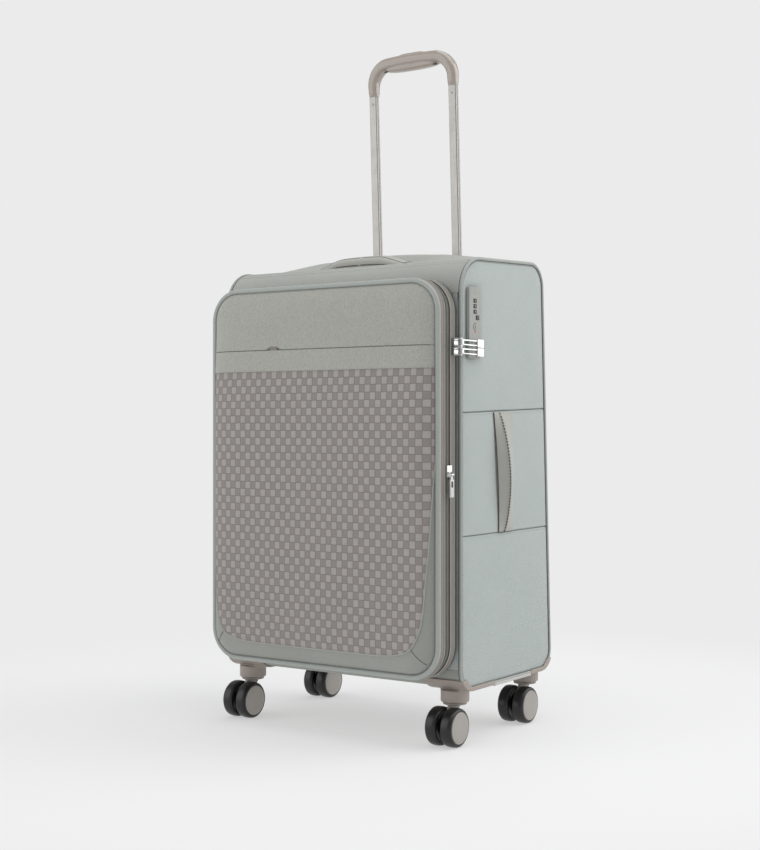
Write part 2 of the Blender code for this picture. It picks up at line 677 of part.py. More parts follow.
def build_grip(carriage):
    top = leg_bottom + GRIP_HEIGHT
    half = TUBE_SPACING / 2 + GRIP_LEG / 2
    outer_radius = 0.028
    shoulder = [(half, leg_bottom), (half, top - 0.006), (0, top + 0.004), (-half, top - 0.006), (-half, leg_bottom)]
    outline = [(half - 0.0035, leg_bottom), (half, leg_bottom + 0.012)]
    outline += [tuple(p) for p, n in corner_arc(shoulder[0], shoulder[1], shoulder[2], outer_radius, 5)]
    outline += [(0.025, top), (-0.025, top)]
    outline += [tuple(p) for p, n in corner_arc(shoulder[2], shoulder[3], shoulder[4], outer_radius, 5)]
    outline += [(-half, leg_bottom + 0.012), (-half + 0.0035, leg_bottom)]
    inner_half = half - GRIP_LEG
    under = top - GRIP_BAR
    outline += [(-inner_half - 0.0030, leg_bottom), (-inner_half, leg_bottom + 0.010)]
    left_arc = corner_arc((-inner_half, leg_bottom), (-inner_half, under), (0, under), 0.013, 4)
    right_arc = corner_arc((0, under), (inner_half, under), (inner_half, leg_bottom), 0.013, 4)
    outline += [tuple(p) for p, n in left_arc + right_arc]
    outline += [(inner_half, leg_bottom + 0.010), (inner_half + 0.0030, leg_bottom)]
    shape = prism(outline, -GRIP_DEPTH / 2, GRIP_DEPTH / 2, "Y")
    grip = new_piece("grip", shape, "gloss_plastic", carriage, smooth=True)
    bevel = grip.modifiers.new("soft_edges", "BEVEL")
    bevel.width = 0.0035
    bevel.segments = 2
    bevel.limit_method = "ANGLE"
    bevel.angle_limit = math.radians(60)
    for x in (TUBE_SPACING / 2, -TUBE_SPACING / 2):
        socket = rectangle(INNER_TUBE[0] + 2 * GAP, INNER_TUBE[1] + 2 * GAP, x)
        cut(grip, prism(socket, leg_bottom - 0.01, leg_bottom + 0.0225, "Z"))
    half_length = 0.0235
    half_depth = 0.0055
    floor = top - 0.0090
    cut(grip, box((-half_length, -half_depth, floor), (half_length, half_depth, top + 0.02)))
    button = box((-half_length + GAP, -half_depth + GAP, floor + BUTTON_TRAVEL + GAP),
                 (half_length - GAP, half_depth - GAP, top + 0.0022))
    button_piece = new_piece("grip_button", button, "gloss_plastic", carriage, smooth=True)
    soft = button_piece.modifiers.new("soft_edges", "BEVEL")
    soft.width = 0.0016
    soft.segments = 2
    soft.limit_method = "ANGLE"


# ---------------------------------------------------------------- carry handles
def strap_shape(stations, place_point, width, thickness):
    loops = []
    for share in stations:
        base, across, up = place_point(share)
        low_edge = base - across * width / 2
        high_edge = base + across * width / 2
        lift = up * thickness
        loops.append([tuple(low_edge), tuple(high_edge), tuple(high_edge + lift), tuple(low_edge + lift)])
    return skin_capped(loops)


def build_carry_handles(root):
    stations = [i / 14 for i in range(15)]
    middle_y = front_y + BODY_DEPTH / 2 - 0.0128

    def side_point(share):
        z = bottom_z + LOWER_SEAM + 0.006 + (UPPER_SEAM - LOWER_SEAM - 0.012) * share
        x = half_width + 2 * GAP + SIDE_HANDLE_BOW * math.sin(math.pi * share) ** 0.8
        return Vector((x, middle_y, z)), Vector((0, 1, 0)), Vector((1, 0, 0))

    side_strap = strap_shape(stations, side_point, SIDE_HANDLE_WIDTH, STRAP_THICKNESS)
    new_piece("side_handle", side_strap, "side_fabric", root, smooth=True)
    handle_mid_y = front_y + TOP_HANDLE_SETBACK
    step = 0.005
    slope = (top_height(0, handle_mid_y + step) - top_height(0, handle_mid_y - step)) / (2 * step)
    across = Vector((0, 1, slope)).normalized()
    up = Vector((0, -across[2], across[1]))

    def top_point(share):
        x = TOP_HANDLE_LENGTH * (share - 0.5)
        base = Vector((x, handle_mid_y, top_height(x, handle_mid_y)))
        return base + up * (0.0008 + TOP_HANDLE_BOW * math.sin(math.pi * share)), across, up

    top_strap = strap_shape(stations, top_point, TOP_HANDLE_WIDTH, STRAP_THICKNESS)
    new_piece("top_handle", top_strap, "side_fabric", root, smooth=True)


# ---------------------------------------------------------------- lock
def lock_centre():
    return front_y + LOCK_SETBACK, front_top_z - LOCK_TOP_MARGIN - LOCK_HEIGHT / 2


def build_lock(root):
    y, z = lock_centre()
    lock = new_empty("lock_frame", (half_width, y, z), parent=root)
    plate_front = GAP + LOCK_PLATE
    half_y = LOCK_WIDTH / 2
    half_z = LOCK_HEIGHT / 2
    corners = [(-half_y, -half_z), (half_y, -half_z), (half_y, half_z), (-half_y, half_z)]
    plate = rounded(corners, [0.005] * 4, 3)
    body = new_piece("lock_body", prism(plate, GAP, plate_front, "X"), "lock_plastic", lock, smooth=True)
    inner_y = half_y - 0.003 - GAP
    inner_z = half_z - 0.004 - GAP
    join(body, box((-LOCK_HOUSING, -inner_y, -inner_z), (GAP + 0.001, inner_y, inner_z)))
    pad_low = pull_heights()[1] - 0.0068
    pad_high = pull_heights()[0] + 0.0068
    join(body, box((plate_front - 0.001, -0.0085, pad_low), (plate_front + PAD_RAISE, 0.0125, pad_high)))
    for k, height in enumerate(dial_heights()):
        slot = DIAL_WIDTH / 2 + GAP
        dial_x = plate_front + DIAL_PROUD - DIAL_RADIUS
        cut(body, cylinder(DIAL_RADIUS + 0.0004, height - slot, height + slot, "Z", (dial_x, 0), 24))
        axis = new_empty(f"dial_{k + 1}_axis", (dial_x, 0, height), parent=lock)
        new_piece(f"lock_dial_{k + 1}", cylinder(DIAL_RADIUS, -DIAL_WIDTH / 2, DIAL_WIDTH / 2, "Z", steps=20),
                  "dark_plastic", axis, smooth=True)
    button_z = 0.0073
    cut(body, box((plate_front - 0.004, 0.0025, button_z - 0.0030),
                  (plate_front + 0.01, 0.0105, button_z + 0.0030)))
    button = box((plate_front - 0.0022, 0.0025 + GAP, button_z - 0.0030 + GAP),
                 (plate_front + DIAL_PROUD, 0.0105 - GAP, button_z + 0.0030 - GAP))
    new_piece("lock_button", button, "dark_plastic", lock)
    key_z = -0.0054
    cut(body, cylinder(0.0042 + GAP, plate_front - 0.006, plate_front + 0.01, "X", (0, key_z), 20))
    axis = new_empty("key_axis", (0, 0, key_z), parent=lock)
    barrel = cylinder(0.0042, plate_front - 0.0055, plate_front + 0.0004, "X", steps=20)
    cylinder_piece = new_piece("key_cylinder", barrel, "bright_metal", axis, smooth=True)
    cut(cylinder_piece, box((plate_front - 0.002, -0.0006, -0.0026), (plate_front + 0.01, 0.0006, 0.0026)))
    return plate_front


def dial_heights():
    return [0.030 - DIAL_PITCH * k for k in range(3)]


# Heights of the two pull tabs above the lock's middle.
def pull_heights():
    return [-0.0277, -0.0277 - SLIDER_PITCH]


# ---------------------------------------------------------------- zip sliders
def build_lock_sliders(root, plate_front):
    y, z = lock_centre()
    slider_y = gusset_rear_y - SLIDER_WIDTH / 2 - 0.0010
    base_x = lid_half + 0.0005
    head_x = half_width + plate_front + PAD_RAISE + GAP
    pin_x = head_x - 0.0005
    for label, height in zip(("upper", "lower"), pull_heights()):
        axis = new_empty(f"{label}_pull_axis", (pin_x, slider_y, z + height), parent=root)
        half = SLIDER_HEIGHT / 2
        ear = 0.0016
        base = box((base_x - pin_x, -SLIDER_WIDTH / 2, -half),
                   (base_x - pin_x + 0.0050, SLIDER_WIDTH / 2, half))
        slider = new_piece(f"{label}_main_slider", base, "bright_metal", axis)
        for low, high in ((-half, -half + ear), (half - ear, half)):
            join(slider, prism([(base_x - pin_x + 0.004, -0.0034), (0.0014, -0.0016), (0.0014, 0.0016),
                                (base_x - pin_x + 0.004, 0.0034)], low, high, "Z"))
        join(slider, cylinder(PULL_PIN, -half + ear / 2, half - ear / 2, "Z", steps=12))
        build_lock_pull(f"{label}_lock_pull", axis, half - ear - GAP, head_x - pin_x, y - slider_y)


# Two-rail tab: a knuckle on the slider's pin, two rails, and a flat head over the lock.
def build_lock_pull(name, axis, half, head_x, reach):
    knuckle = ring_prism(circle(PULL_KNUCKLE, 16), circle(PULL_PIN + GAP, 16), -half, half, "Z")
    pull = new_piece(name, knuckle, "bright_metal", axis, smooth=True)
    rail_x = PULL_KNUCKLE - 0.0012
    head_half = SLIDER_HEIGHT / 2 - 0.0004
    head_y = reach + 0.0010
    outline = [(0.0014, -half), (head_y, -half), (head_y, half), (0.0014, half)]
    join(pull, prism([(a, b) for a, b in outline], rail_x - 0.0006, rail_x + 0.0012, "X"))
    cut(pull, box((-0.01, 0.0034, -half + 0.0015), (0.01, head_y - 0.0006, half - 0.0015)))
    join(pull, box((max(head_x, rail_x - 0.0006), head_y - 0.0002, -head_half),
                   (rail_x + 0.0020, head_y + 0.0155, head_half)))


def build_expansion_slider(root):
    z = front_top_z - EXPANSION_SLIDER_DROP
    y = gusset_front_y - EXPANSION_ZIP_WIDTH / 2
    base_x = lid_half + 0.0005
    pin_x = base_x + 0.0058
    axis = new_empty("expansion_pull_axis", (pin_x, y, z), parent=root)
    low = base_x - pin_x
    base = box((low, -0.0058, -0.0035), (low + 0.0030, 0.0058, 0.0125))
    slider = new_piece("expansion_slider", base, "bright_metal", axis)
    for side in (1, -1):
        near, far = sorted((side * 0.0034, side * 0.0049))
        cheek = [(low + 0.002, -0.0028), (0.0014, -0.0014), (0.0014, 0.0014), (low + 0.002, 0.0050)]
        join(slider, prism(cheek, near, far, "Y"))
    join(slider, cylinder(PULL_PIN, -0.0042, 0.0042, "Y", steps=12))
    knuckle = ring_prism(circle(PULL_KNUCKLE, 16), circle(PULL_PIN + GAP, 16), -0.0030, 0.0030, "Y")
    pull = new_piece("expansion_pull", knuckle, "bright_metal", axis, smooth=True)
    tab_low = low + 0.0030 + GAP
    join(pull, box((-0.0008, -0.0026, -0.0070), (0.0008, 0.0026, -0.0012)))
    join(pull, box((max(-0.0012, tab_low), -0.0044, -0.0300), (0.0012, 0.0044, -0.0062)))
    cut(pull, box((-0.01, -0.0024, -0.0170), (0.01, 0.0024, -0.0090)))


# ---------------------------------------------------------------- lid
def lid_outline(inset):
    return rounded_rectangle(lid_half - inset, lid_bottom + inset, lid_top - inset, LID_CORNER_RADIUS - inset)


pocket_zip_drop = 0.1200     # pocket zip below the body's front upper edge


def build_lid(root):
    outer = lid_outline(0.0)
    inner = lid_outline(LID_WALL)
    gusset = ring_prism(outer, inner, gusset_front_y, gusset_rear_y, "Y")
    new_piece("lid_gusset", gusset, "front_fabric", root, smooth=True)
    fold_outer = lid_outline(LID_WALL + FOLD_CLEARANCE)
    fold_inner = lid_outline(LID_WALL + FOLD_CLEARANCE + FOLD_WALL)
    fold_front = lid_front_y + LID_PANEL + 0.0010
    fold = ring_prism(fold_outer, fold_inner, fold_front, gusset_rear_y - 0.004, "Y")
    new_piece("expansion_fold", fold, "lining", root, smooth=True)
    floor = lid_front_y + LID_PANEL
    # Front of the pocket, as inset from the lid's edge and height in front of it.
    swell = [(LID_PUFF_INSET, LID_PUFF), (LID_PUFF_INSET * 0.42, LID_PUFF * 0.74)]
    loops = [[(a, lid_front_y - height, b) for a, b in lid_outline(inset)] for inset, height in swell]
    loops += [[(a, h, b) for a, b in loop] for loop, h in
              ((outer, lid_front_y), (outer, lid_rim_y), (inner, lid_rim_y), (inner, floor))]
    loops += [[(a, floor - height, b) for a, b in lid_outline(inset + LID_WALL)]
              for inset, height in swell[::-1]]
    shell = new_piece("lid_shell", skin_capped(loops), "check_fabric", root, smooth=True)
    z = front_top_z - pocket_zip_drop
    pocket_y = lid_front_y - LID_PUFF
    groove_half = lid_half - LID_PUFF_INSET - 0.002
    cut(shell, box((-groove_half, pocket_y - 0.01, z - 0.0045), (groove_half, pocket_y + 0.0026, z + 0.0045)))
    slider = box((-0.0790, pocket_y + 0.0003, z - 0.0036), (-0.0650, pocket_y + 0.0026 - GAP, z + 0.0036))
    new_piece("pocket_slider", slider, "bright_metal", root)


# ---------------------------------------------------------------- whole case
# Middle of the footprint of every piece, as it stands.
def footprint_centre():
    bpy.context.view_layer.update()
    graph = bpy.context.evaluated_depsgraph_get()
    low = Vector((1e9, 1e9))
    high = Vector((-1e9, -1e9))
    for item in bpy.context.scene.objects:
        if item.type != "MESH" or item.hide_render:
            continue
        shape = item.evaluated_get(graph)
        for corner in shape.bound_box:
            point = (item.matrix_world @ Vector(corner)).to_2d()
            low = Vector(map(min, low, point))
            high = Vector(map(max, high, point))
    return (low + high) / 2


def main():
    clear_scene()
    root = new_empty("case_origin")
    build_side_panels(root)
    build_band(root)
    build_wire_hoops(root)
    swivels = build_guards(root)
    for name, centre in swivels.items():
        build_caster(name, centre, root)
    frame = build_handle_mount(root)
    build_handle(frame)
    build_carry_handles(root)
    plate_front = build_lock(root)
    build_lock_sliders(root, plate_front)
    build_expansion_slider(root)
    build_lid(root)
    middle = footprint_centre()
    root.location = (-middle.x, -middle.y, 0)
    bpy.context.view_layer.update()


main()
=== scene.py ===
import math
import bmesh
import bpy
import numpy as np
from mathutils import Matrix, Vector


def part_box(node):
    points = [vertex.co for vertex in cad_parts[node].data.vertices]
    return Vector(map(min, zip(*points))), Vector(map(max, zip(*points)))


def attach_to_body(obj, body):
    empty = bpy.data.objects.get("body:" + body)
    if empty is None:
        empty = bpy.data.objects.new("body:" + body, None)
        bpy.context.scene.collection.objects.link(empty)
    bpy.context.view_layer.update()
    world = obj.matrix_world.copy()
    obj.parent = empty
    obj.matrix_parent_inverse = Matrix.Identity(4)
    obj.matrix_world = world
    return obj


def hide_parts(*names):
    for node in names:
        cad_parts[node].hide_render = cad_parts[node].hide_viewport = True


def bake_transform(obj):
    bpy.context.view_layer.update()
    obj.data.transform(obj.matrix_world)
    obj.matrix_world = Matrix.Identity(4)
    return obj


# Softside upright suitcase: cloth shell, padded front pocket, telescopic handle, four casters.
# Places are worked out in case coordinates (middle plane at x = 0, body front at bodyFront)
# and moved by caseShift into the frame when a mesh is made. Lengths are in metres.

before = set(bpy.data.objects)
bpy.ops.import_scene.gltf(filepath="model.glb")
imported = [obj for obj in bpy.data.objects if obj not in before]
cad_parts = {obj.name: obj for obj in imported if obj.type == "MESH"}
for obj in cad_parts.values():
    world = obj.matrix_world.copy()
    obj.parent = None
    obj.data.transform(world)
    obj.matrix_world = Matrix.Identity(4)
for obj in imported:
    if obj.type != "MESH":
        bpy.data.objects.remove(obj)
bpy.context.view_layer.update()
rightLow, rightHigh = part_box("right_side_panel")
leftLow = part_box("left_side_panel")[0]
bodyFront = -0.127
caseShift = np.array([(rightHigh.x + leftLow.x) / 2, rightLow.y - bodyFront, 0.0])
halfWidth = (rightHigh.x - leftLow.x) / 2
bodyBottom, bodyTop = rightLow.z, rightHigh.z
mm = 0.001
quarterTurn = 1.57


# ---- small helpers
# Smooth step from 0 to 1: s * s * (3 - 2 s), with s held between 0 and 1.
def ease(s):
    s = np.clip(s, 0, 1)
    return s * s * (3 - 2 * s)


# A bump that is 1 at the middle and falls as exp(-(distance / width) squared).
def bump(value, middle, width):
    return np.exp(-((value - middle) / width) ** 2)


# A power that keeps the sign; below 1 it makes a circle's cos and sin squarish.
def signedPower(value, power):
    return np.sign(value) * np.abs(value) ** power


# Vectors brought to length 1.
def unit(vectors):
    return vectors / np.linalg.norm(vectors, axis=-1, keepdims=True)


# Length along a path at each of its points.
def pathLength(path):
    return np.concatenate([[0], np.cumsum(np.linalg.norm(np.diff(path, axis=0), axis=1))])


# Angles spread evenly round a circle, from half a step on unless told otherwise.
def around(count, first=0.5):
    return 2 * math.pi * (np.arange(count) + first) / count


# Points on a circle: middle + radius * (cos, sin).
def roundProfile(radius, sides, middle=(0, 0)):
    turns = around(sides)
    return np.stack([middle[0] + radius * np.cos(turns), middle[1] + radius * np.sin(turns)], 1)


# sRGB hex to the linear colour that a shader takes, made darker by shade.
def colour(text, shade=1.0):
    rgb = np.array([int(text[i:i + 2], 16) / 255 for i in (0, 2, 4)])
    rgb = np.where(rgb <= 0.04045, rgb / 12.92, ((rgb + 0.055) / 1.055) ** 2.4)
    return (*(rgb * shade).tolist(), 1.0)


# Faces of a grid of rows x columns points; closed ways run round to the first row or column.
def gridFaces(rows, columns, ringRows=False, ringColumns=False):
    index = np.arange(rows * columns).reshape(rows, columns)
    if ringRows:
        index = np.vstack([index, index[:1]])
    if ringColumns:
        index = np.hstack([index, index[:, :1]])
    return np.stack([index[:-1, :-1], index[:-1, 1:], index[1:, 1:], index[1:, :-1]], -1).reshape(-1, 4)


# Faces of a tube of rows x sides points, both ends closed.
def tubeFaces(rows, sides):
    ends = [list(range(sides)), list(range((rows - 1) * sides, rows * sides))]
    return gridFaces(rows, sides, False, True).tolist() + ends


# Puts points and faces into a new object. Closed shapes get their faces turned outwards.
def makePiece(name, points, faces, finish, faceFinish=None, shifted=True):
    points = np.asarray(points, float).reshape(-1, 3) + (caseShift if shifted else 0)
    mesh = bpy.data.meshes.new(name)
    mesh.from_pydata(points.tolist(), [], [list(map(int, f)) for f in faces])
    shape = bmesh.new()
    shape.from_mesh(mesh)
    bmesh.ops.recalc_face_normals(shape, faces=shape.faces)
    shape.to_mesh(mesh)
    shape.free()
    for one in finish if isinstance(finish, list) else [finish]:
        mesh.materials.append(one)
    if faceFinish is not None:
        mesh.polygons.foreach_set("material_index", np.asarray(faceFinish, np.int32))
    mesh.shade_smooth()
    mesh.set_sharp_from_angle(angle=math.radians(50))
    mesh.update()
    piece = bpy.data.objects.new(name, mesh)
    bpy.context.scene.collection.objects.link(piece)
    return piece


# Fixes a piece to its body and hides the CAD node that it stands for.
def attach(piece, body, node):
    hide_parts(node)
    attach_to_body(piece, body)
    return piece


# A closed slab between an outer and an inner grid of points: both grids and a rim round them.
# keep says which cells are there, and the points of the others are taken out.
def makeSlab(name, outer, inner, finish, keep=None):
    rows, columns = outer.shape[:2]
    front = gridFaces(rows, columns)
    if keep is not None:
        front = front[keep.reshape(-1)]
    back = front[:, ::-1] + rows * columns
    edges = np.concatenate([front[:, [i, (i + 1) % 4]] for i in range(4)])
    twins = set(map(tuple, edges.tolist()))
    rim = [(a, b, b + rows * columns, a + rows * columns) for a, b in twins if (b, a) not in twins]
    faces = front.tolist() + back.tolist() + sorted(rim)
    index = [0] * len(front) + [int(isinstance(finish, list))] * len(back) + [0] * len(rim)
    points = np.concatenate([outer.reshape(-1, 3), inner.reshape(-1, 3)])
    piece = makePiece(name, points, faces, finish, index)
    shape = bmesh.new()
    shape.from_mesh(piece.data)
    bmesh.ops.delete(shape, geom=[v for v in shape.verts if not v.link_faces], context="VERTS")
    shape.to_mesh(piece.data)
    shape.free()
    return piece


# Outline of a polygon with rounded corners: arcs centre + radius * (cos, sin) joined by
# straight lines, cut into steps. Gives its points and its outward normals.
def roundedOutline(corners, radii, step):
    arcs, arcNormals = [], []
    corners = np.asarray(corners, float)
    for i, corner in enumerate(corners):
        before, after = unit(corner - corners[i - 1]), unit(corners[(i + 1) % len(corners)] - corner)
        start, end = math.atan2(-before[0], before[1]), math.atan2(-after[0], after[1])
        sweep = (end - start) % (2 * math.pi)
        inset = radii[i] * math.tan(sweep / 2)
        centre = corner - before * inset + radii[i] * np.array([-before[1], before[0]])
        turns = start + sweep * np.linspace(0, 1, max(4, math.ceil(radii[i] * sweep / step)) + 1)
        arcNormals.append(np.stack([np.cos(turns), np.sin(turns)], 1))
        arcs.append(centre + radii[i] * arcNormals[-1])
    points, normals = [], []
    for i, arc in enumerate(arcs):
        a, b = arc[-1], arcs[(i + 1) % len(arcs)][0]
        pieces = max(1, math.ceil(np.linalg.norm(b - a) / step))
        share = np.arange(1, pieces)[:, None] / pieces
        points += [arc, a + (b - a) * share]
        normals += [arcNormals[i], np.repeat(arcNormals[i][-1:], pieces - 1, 0)]
    return np.concatenate(points), np.concatenate(normals)


# Lays flat (a, b) points out in 3-D: lid outlines lie in x and z, side outlines in y and z.
def lay(flat, height, plane):
    height = np.broadcast_to(height, flat.shape[:-1])
    if plane == "lid":
        return np.stack([flat[..., 0], height, flat[..., 1]], -1)
    return np.stack([height, flat[..., 0], flat[..., 1]], -1)


# A closed profile of (outwards, height) pairs carried round a closed outline: outline point
# plus outwards along its normal, at the profile's height. ripple swells it along the way.
def ringSweep(name, outline, profile, plane, finish, ripple=1.0):
    points, normals = outline
    middle = profile.mean(0)
    grow = np.ones(len(points)) * ripple
    out = middle[0] + (profile[:, None, 0] - middle[0]) * grow
    height = middle[1] + (profile[:, None, 1] - middle[1]) * grow
    grid = lay(points[None] + normals[None] * out[..., None], height, plane)
    return makePiece(name, grid, gridFaces(*grid.shape[:2], True, True), finish)


# Directions square to a path: its side, from a rough up, and then the true up.
def squareTo(along, up):
    side = unit(np.cross(along, np.broadcast_to(np.asarray(up, float), along.shape)))
    return side, np.cross(side, along)


# A tube along an open path in space: at each point, radius * (cos * side + sin * up).
def tube(name, path, radius, finish, up=(0, 0, 1), sides=8):
    path = np.asarray(path, float)
    side, up = squareTo(unit(np.gradient(path, axis=0)), up)
    ring = roundProfile(1.0, sides)
    grid = path[:, None] + radius * (side[:, None] * ring[None, :, :1] + up[:, None] * ring[None, :, 1:])
    return makePiece(name, grid, tubeFaces(len(path), sides), finish)


# Evenly spaced points along a path, by its own length.
def spaced(path, step):
    length = pathLength(path)
    at = np.linspace(0, length[-1], max(2, round(length[-1] / step) + 1))
    return np.stack([np.interp(at, length, path[:, k]) for k in range(path.shape[1])], 1)


# A row of sewn stitches along a path: short capsules of 4 rings of 5 points, each point at
# middle + along * reach + swell * (cos * side + sin * up). Sizes are in millimetres.
stitch = {"reach": [-0.5, -0.36, 0.36, 0.5], "swell": [0.35, 1, 1, 0.35], "sides": 5}


def stitchRow(name, path, finish, length=2.6, gap=1.0, radius=0.33, up=(0, 0, 1)):
    at = spaced(path, (length + gap) * mm)
    middle = (at[1:] + at[:-1]) / 2
    along = unit(at[1:] - at[:-1])
    side, up = squareTo(along, up)
    reach = np.array(stitch["reach"])[None, :, None, None] * length * mm
    swell = np.array(stitch["swell"])[None, :, None, None] * radius * mm
    rings, sides = len(stitch["reach"]), stitch["sides"]
    ring = roundProfile(1.0, sides)[None, None]
    points = middle[:, None, None] + along[:, None, None] * reach
    points = points + swell * (side[:, None, None] * ring[..., :1] + up[:, None, None] * ring[..., 1:])
    each = rings * sides
    starts = np.arange(len(middle))[:, None] * each
    faces = (gridFaces(rings, sides, False, True)[None] + starts[:, None]).reshape(-1, 4).tolist()
    faces += (starts + np.arange(sides)[::-1]).tolist() + (starts + np.arange(each - sides, each)).tolist()
    return makePiece(name, points, faces, finish)


# A copy of a CAD node with its triangles merged and its edges softened by a bevel, in
# millimetres wide. Edges sharper than the angle are beveled; nearly flat ones are dissolved.
softening = {"merge": 0.002 * mm, "flat": math.radians(1), "sharp": math.radians(32), "segments": 2}


def softened(name, node, body, finish, width=0.4):
    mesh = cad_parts[node].data.copy()
    shape = bmesh.new()
    shape.from_mesh(mesh)
    bmesh.ops.remove_doubles(shape, verts=shape.verts, dist=softening["merge"])
    bmesh.ops.dissolve_limit(shape, angle_limit=softening["flat"], verts=shape.verts, edges=shape.edges)
    shape.to_mesh(mesh)
    shape.free()
    mesh.materials.clear()
    mesh.materials.append(finish)
    mesh.shade_smooth()
    mesh.set_sharp_from_angle(angle=softening["sharp"])
    piece = bpy.data.objects.new(name, mesh)
    bpy.context.scene.collection.objects.link(piece)
    if width:
        bevel = piece.modifiers.new("edges", "BEVEL")
        bevel.width = width * mm
        bevel.segments = softening["segments"]
        bevel.limit_method = "ANGLE"
        bevel.angle_limit = softening["sharp"]
        bevel.use_clamp_overlap = True
    return attach(piece, body, node)


# ---- finishes
# Adds a node with its settings; an input takes a value or another node's output.
def add(tree, kind, inputs=None, **settings):
    made = tree.nodes.new("ShaderNode" + kind)
    for key, value in settings.items():
        setattr(made, key, value)
    for key, value in (inputs or {}).items():
        if isinstance(value, bpy.types.NodeSocket):
            tree.links.new(value, made.inputs[key])
        else:
            made.inputs[key].default_value = value
    return made


# A new material with values on its shader's sockets. Gives the tree, the shader, and the
# place on the piece that its patterns read.
def newFinish(name, base, roughness, metallic=0.0, **more):
    finish = bpy.data.materials.new(name)
    finish.use_nodes = True
    tree = finish.node_tree
    shader = tree.nodes["Principled BSDF"]
    values = {"Base Color": colour(base), "Roughness": roughness, "Metallic": metallic, **more}
    for key, value in values.items():
        shader.inputs[key].default_value = value
    return finish, tree, shader, add(tree, "TexCoord").outputs["Object"]


# Mixes two colours by a factor, and gives the colour. Inputs 0, 6 and 7 of a Mix node are
# its factor and its two colours.
def mixColour(tree, factor, a, b):
    return add(tree, "Mix", {0: factor, 6: a, 7: b}, data_type="RGBA").outputs[2]


# A diagonal wave of scale s repeats every waveTurn / s metres, and a straight one twice as often.
waveTurn = 0.628


# Woven polyester with a polyurethane backing. Fine diagonal ribs of the twill, uneven
# threads across them, a soft matt sheen, and slow changes of shade over the panel.
# The ribs are 0.5 mm apart on the real cloth and are drawn at ribMm so that they show.
def wovenCloth(name, light, dark, ribMm, grainMm, ribDepth, grainDepth, roughness=0.82, stretch=1.0):
    finish, tree, shader, place = newFinish(name, light, roughness,
                                            **{"Sheen Weight": 0.18, "Sheen Roughness": 0.45, "IOR": 1.46})
    ribs = add(tree, "TexWave", {"Vector": place, "Scale": waveTurn / (ribMm * mm), "Distortion": 1.2,
                                 "Detail": 1.0, "Detail Scale": 2.0}, bands_direction="DIAGONAL")
    lean = add(tree, "Mapping", {"Vector": place, "Rotation": (0.6, math.radians(45), 0.6),
                                 "Scale": (1, 1, 1 / stretch)})
    grain = add(tree, "TexNoise", {"Vector": lean.outputs[0], "Scale": 1 / (grainMm * mm),
                                   "Detail": 3.0, "Roughness": 0.6})
    drift = add(tree, "TexNoise", {"Vector": place, "Scale": 7.0, "Detail": 2.0})
    fine = add(tree, "MapRange", {"Value": grain.outputs["Fac"], "From Min": 0.32, "From Max": 0.68})
    threads = add(tree, "Mix", {0: 0.45, 2: ribs.outputs["Fac"], 3: fine.outputs[0]}, data_type="FLOAT")
    shade = add(tree, "Math", {0: threads.outputs[0], 1: 0.75}, operation="MULTIPLY")
    slow = add(tree, "Math", {0: drift.outputs["Fac"], 1: 0.25, 2: shade.outputs[0]},
               operation="MULTIPLY_ADD")
    tone = mixColour(tree, slow.outputs[0], colour(dark), colour(light))
    tree.links.new(tone, shader.inputs["Base Color"])
    relief = add(tree, "Bump", {"Height": ribs.outputs["Fac"], "Strength": ribDepth, "Distance": 0.3 * mm})
    second = add(tree, "Bump", {"Height": fine.outputs[0], "Strength": grainDepth, "Distance": 0.4 * mm,
                                "Normal": relief.outputs[0]})
    tree.links.new(second.outputs[0], shader.inputs["Normal"])
    return finish


# Jacquard cloth woven in a basket of oblong cells. Light cells carry upright threads and
# dark ones level threads, with a shadow in the dips between them. Threads are in millimetres.
checks = {"width": 9.0 * mm, "height": 10.4 * mm, "light": "B4AFAA", "dark": "97908D", "dip": "6B6563",
          "worn": "8E8A88", "uprightThread": 1.1, "levelThread": 1.0}


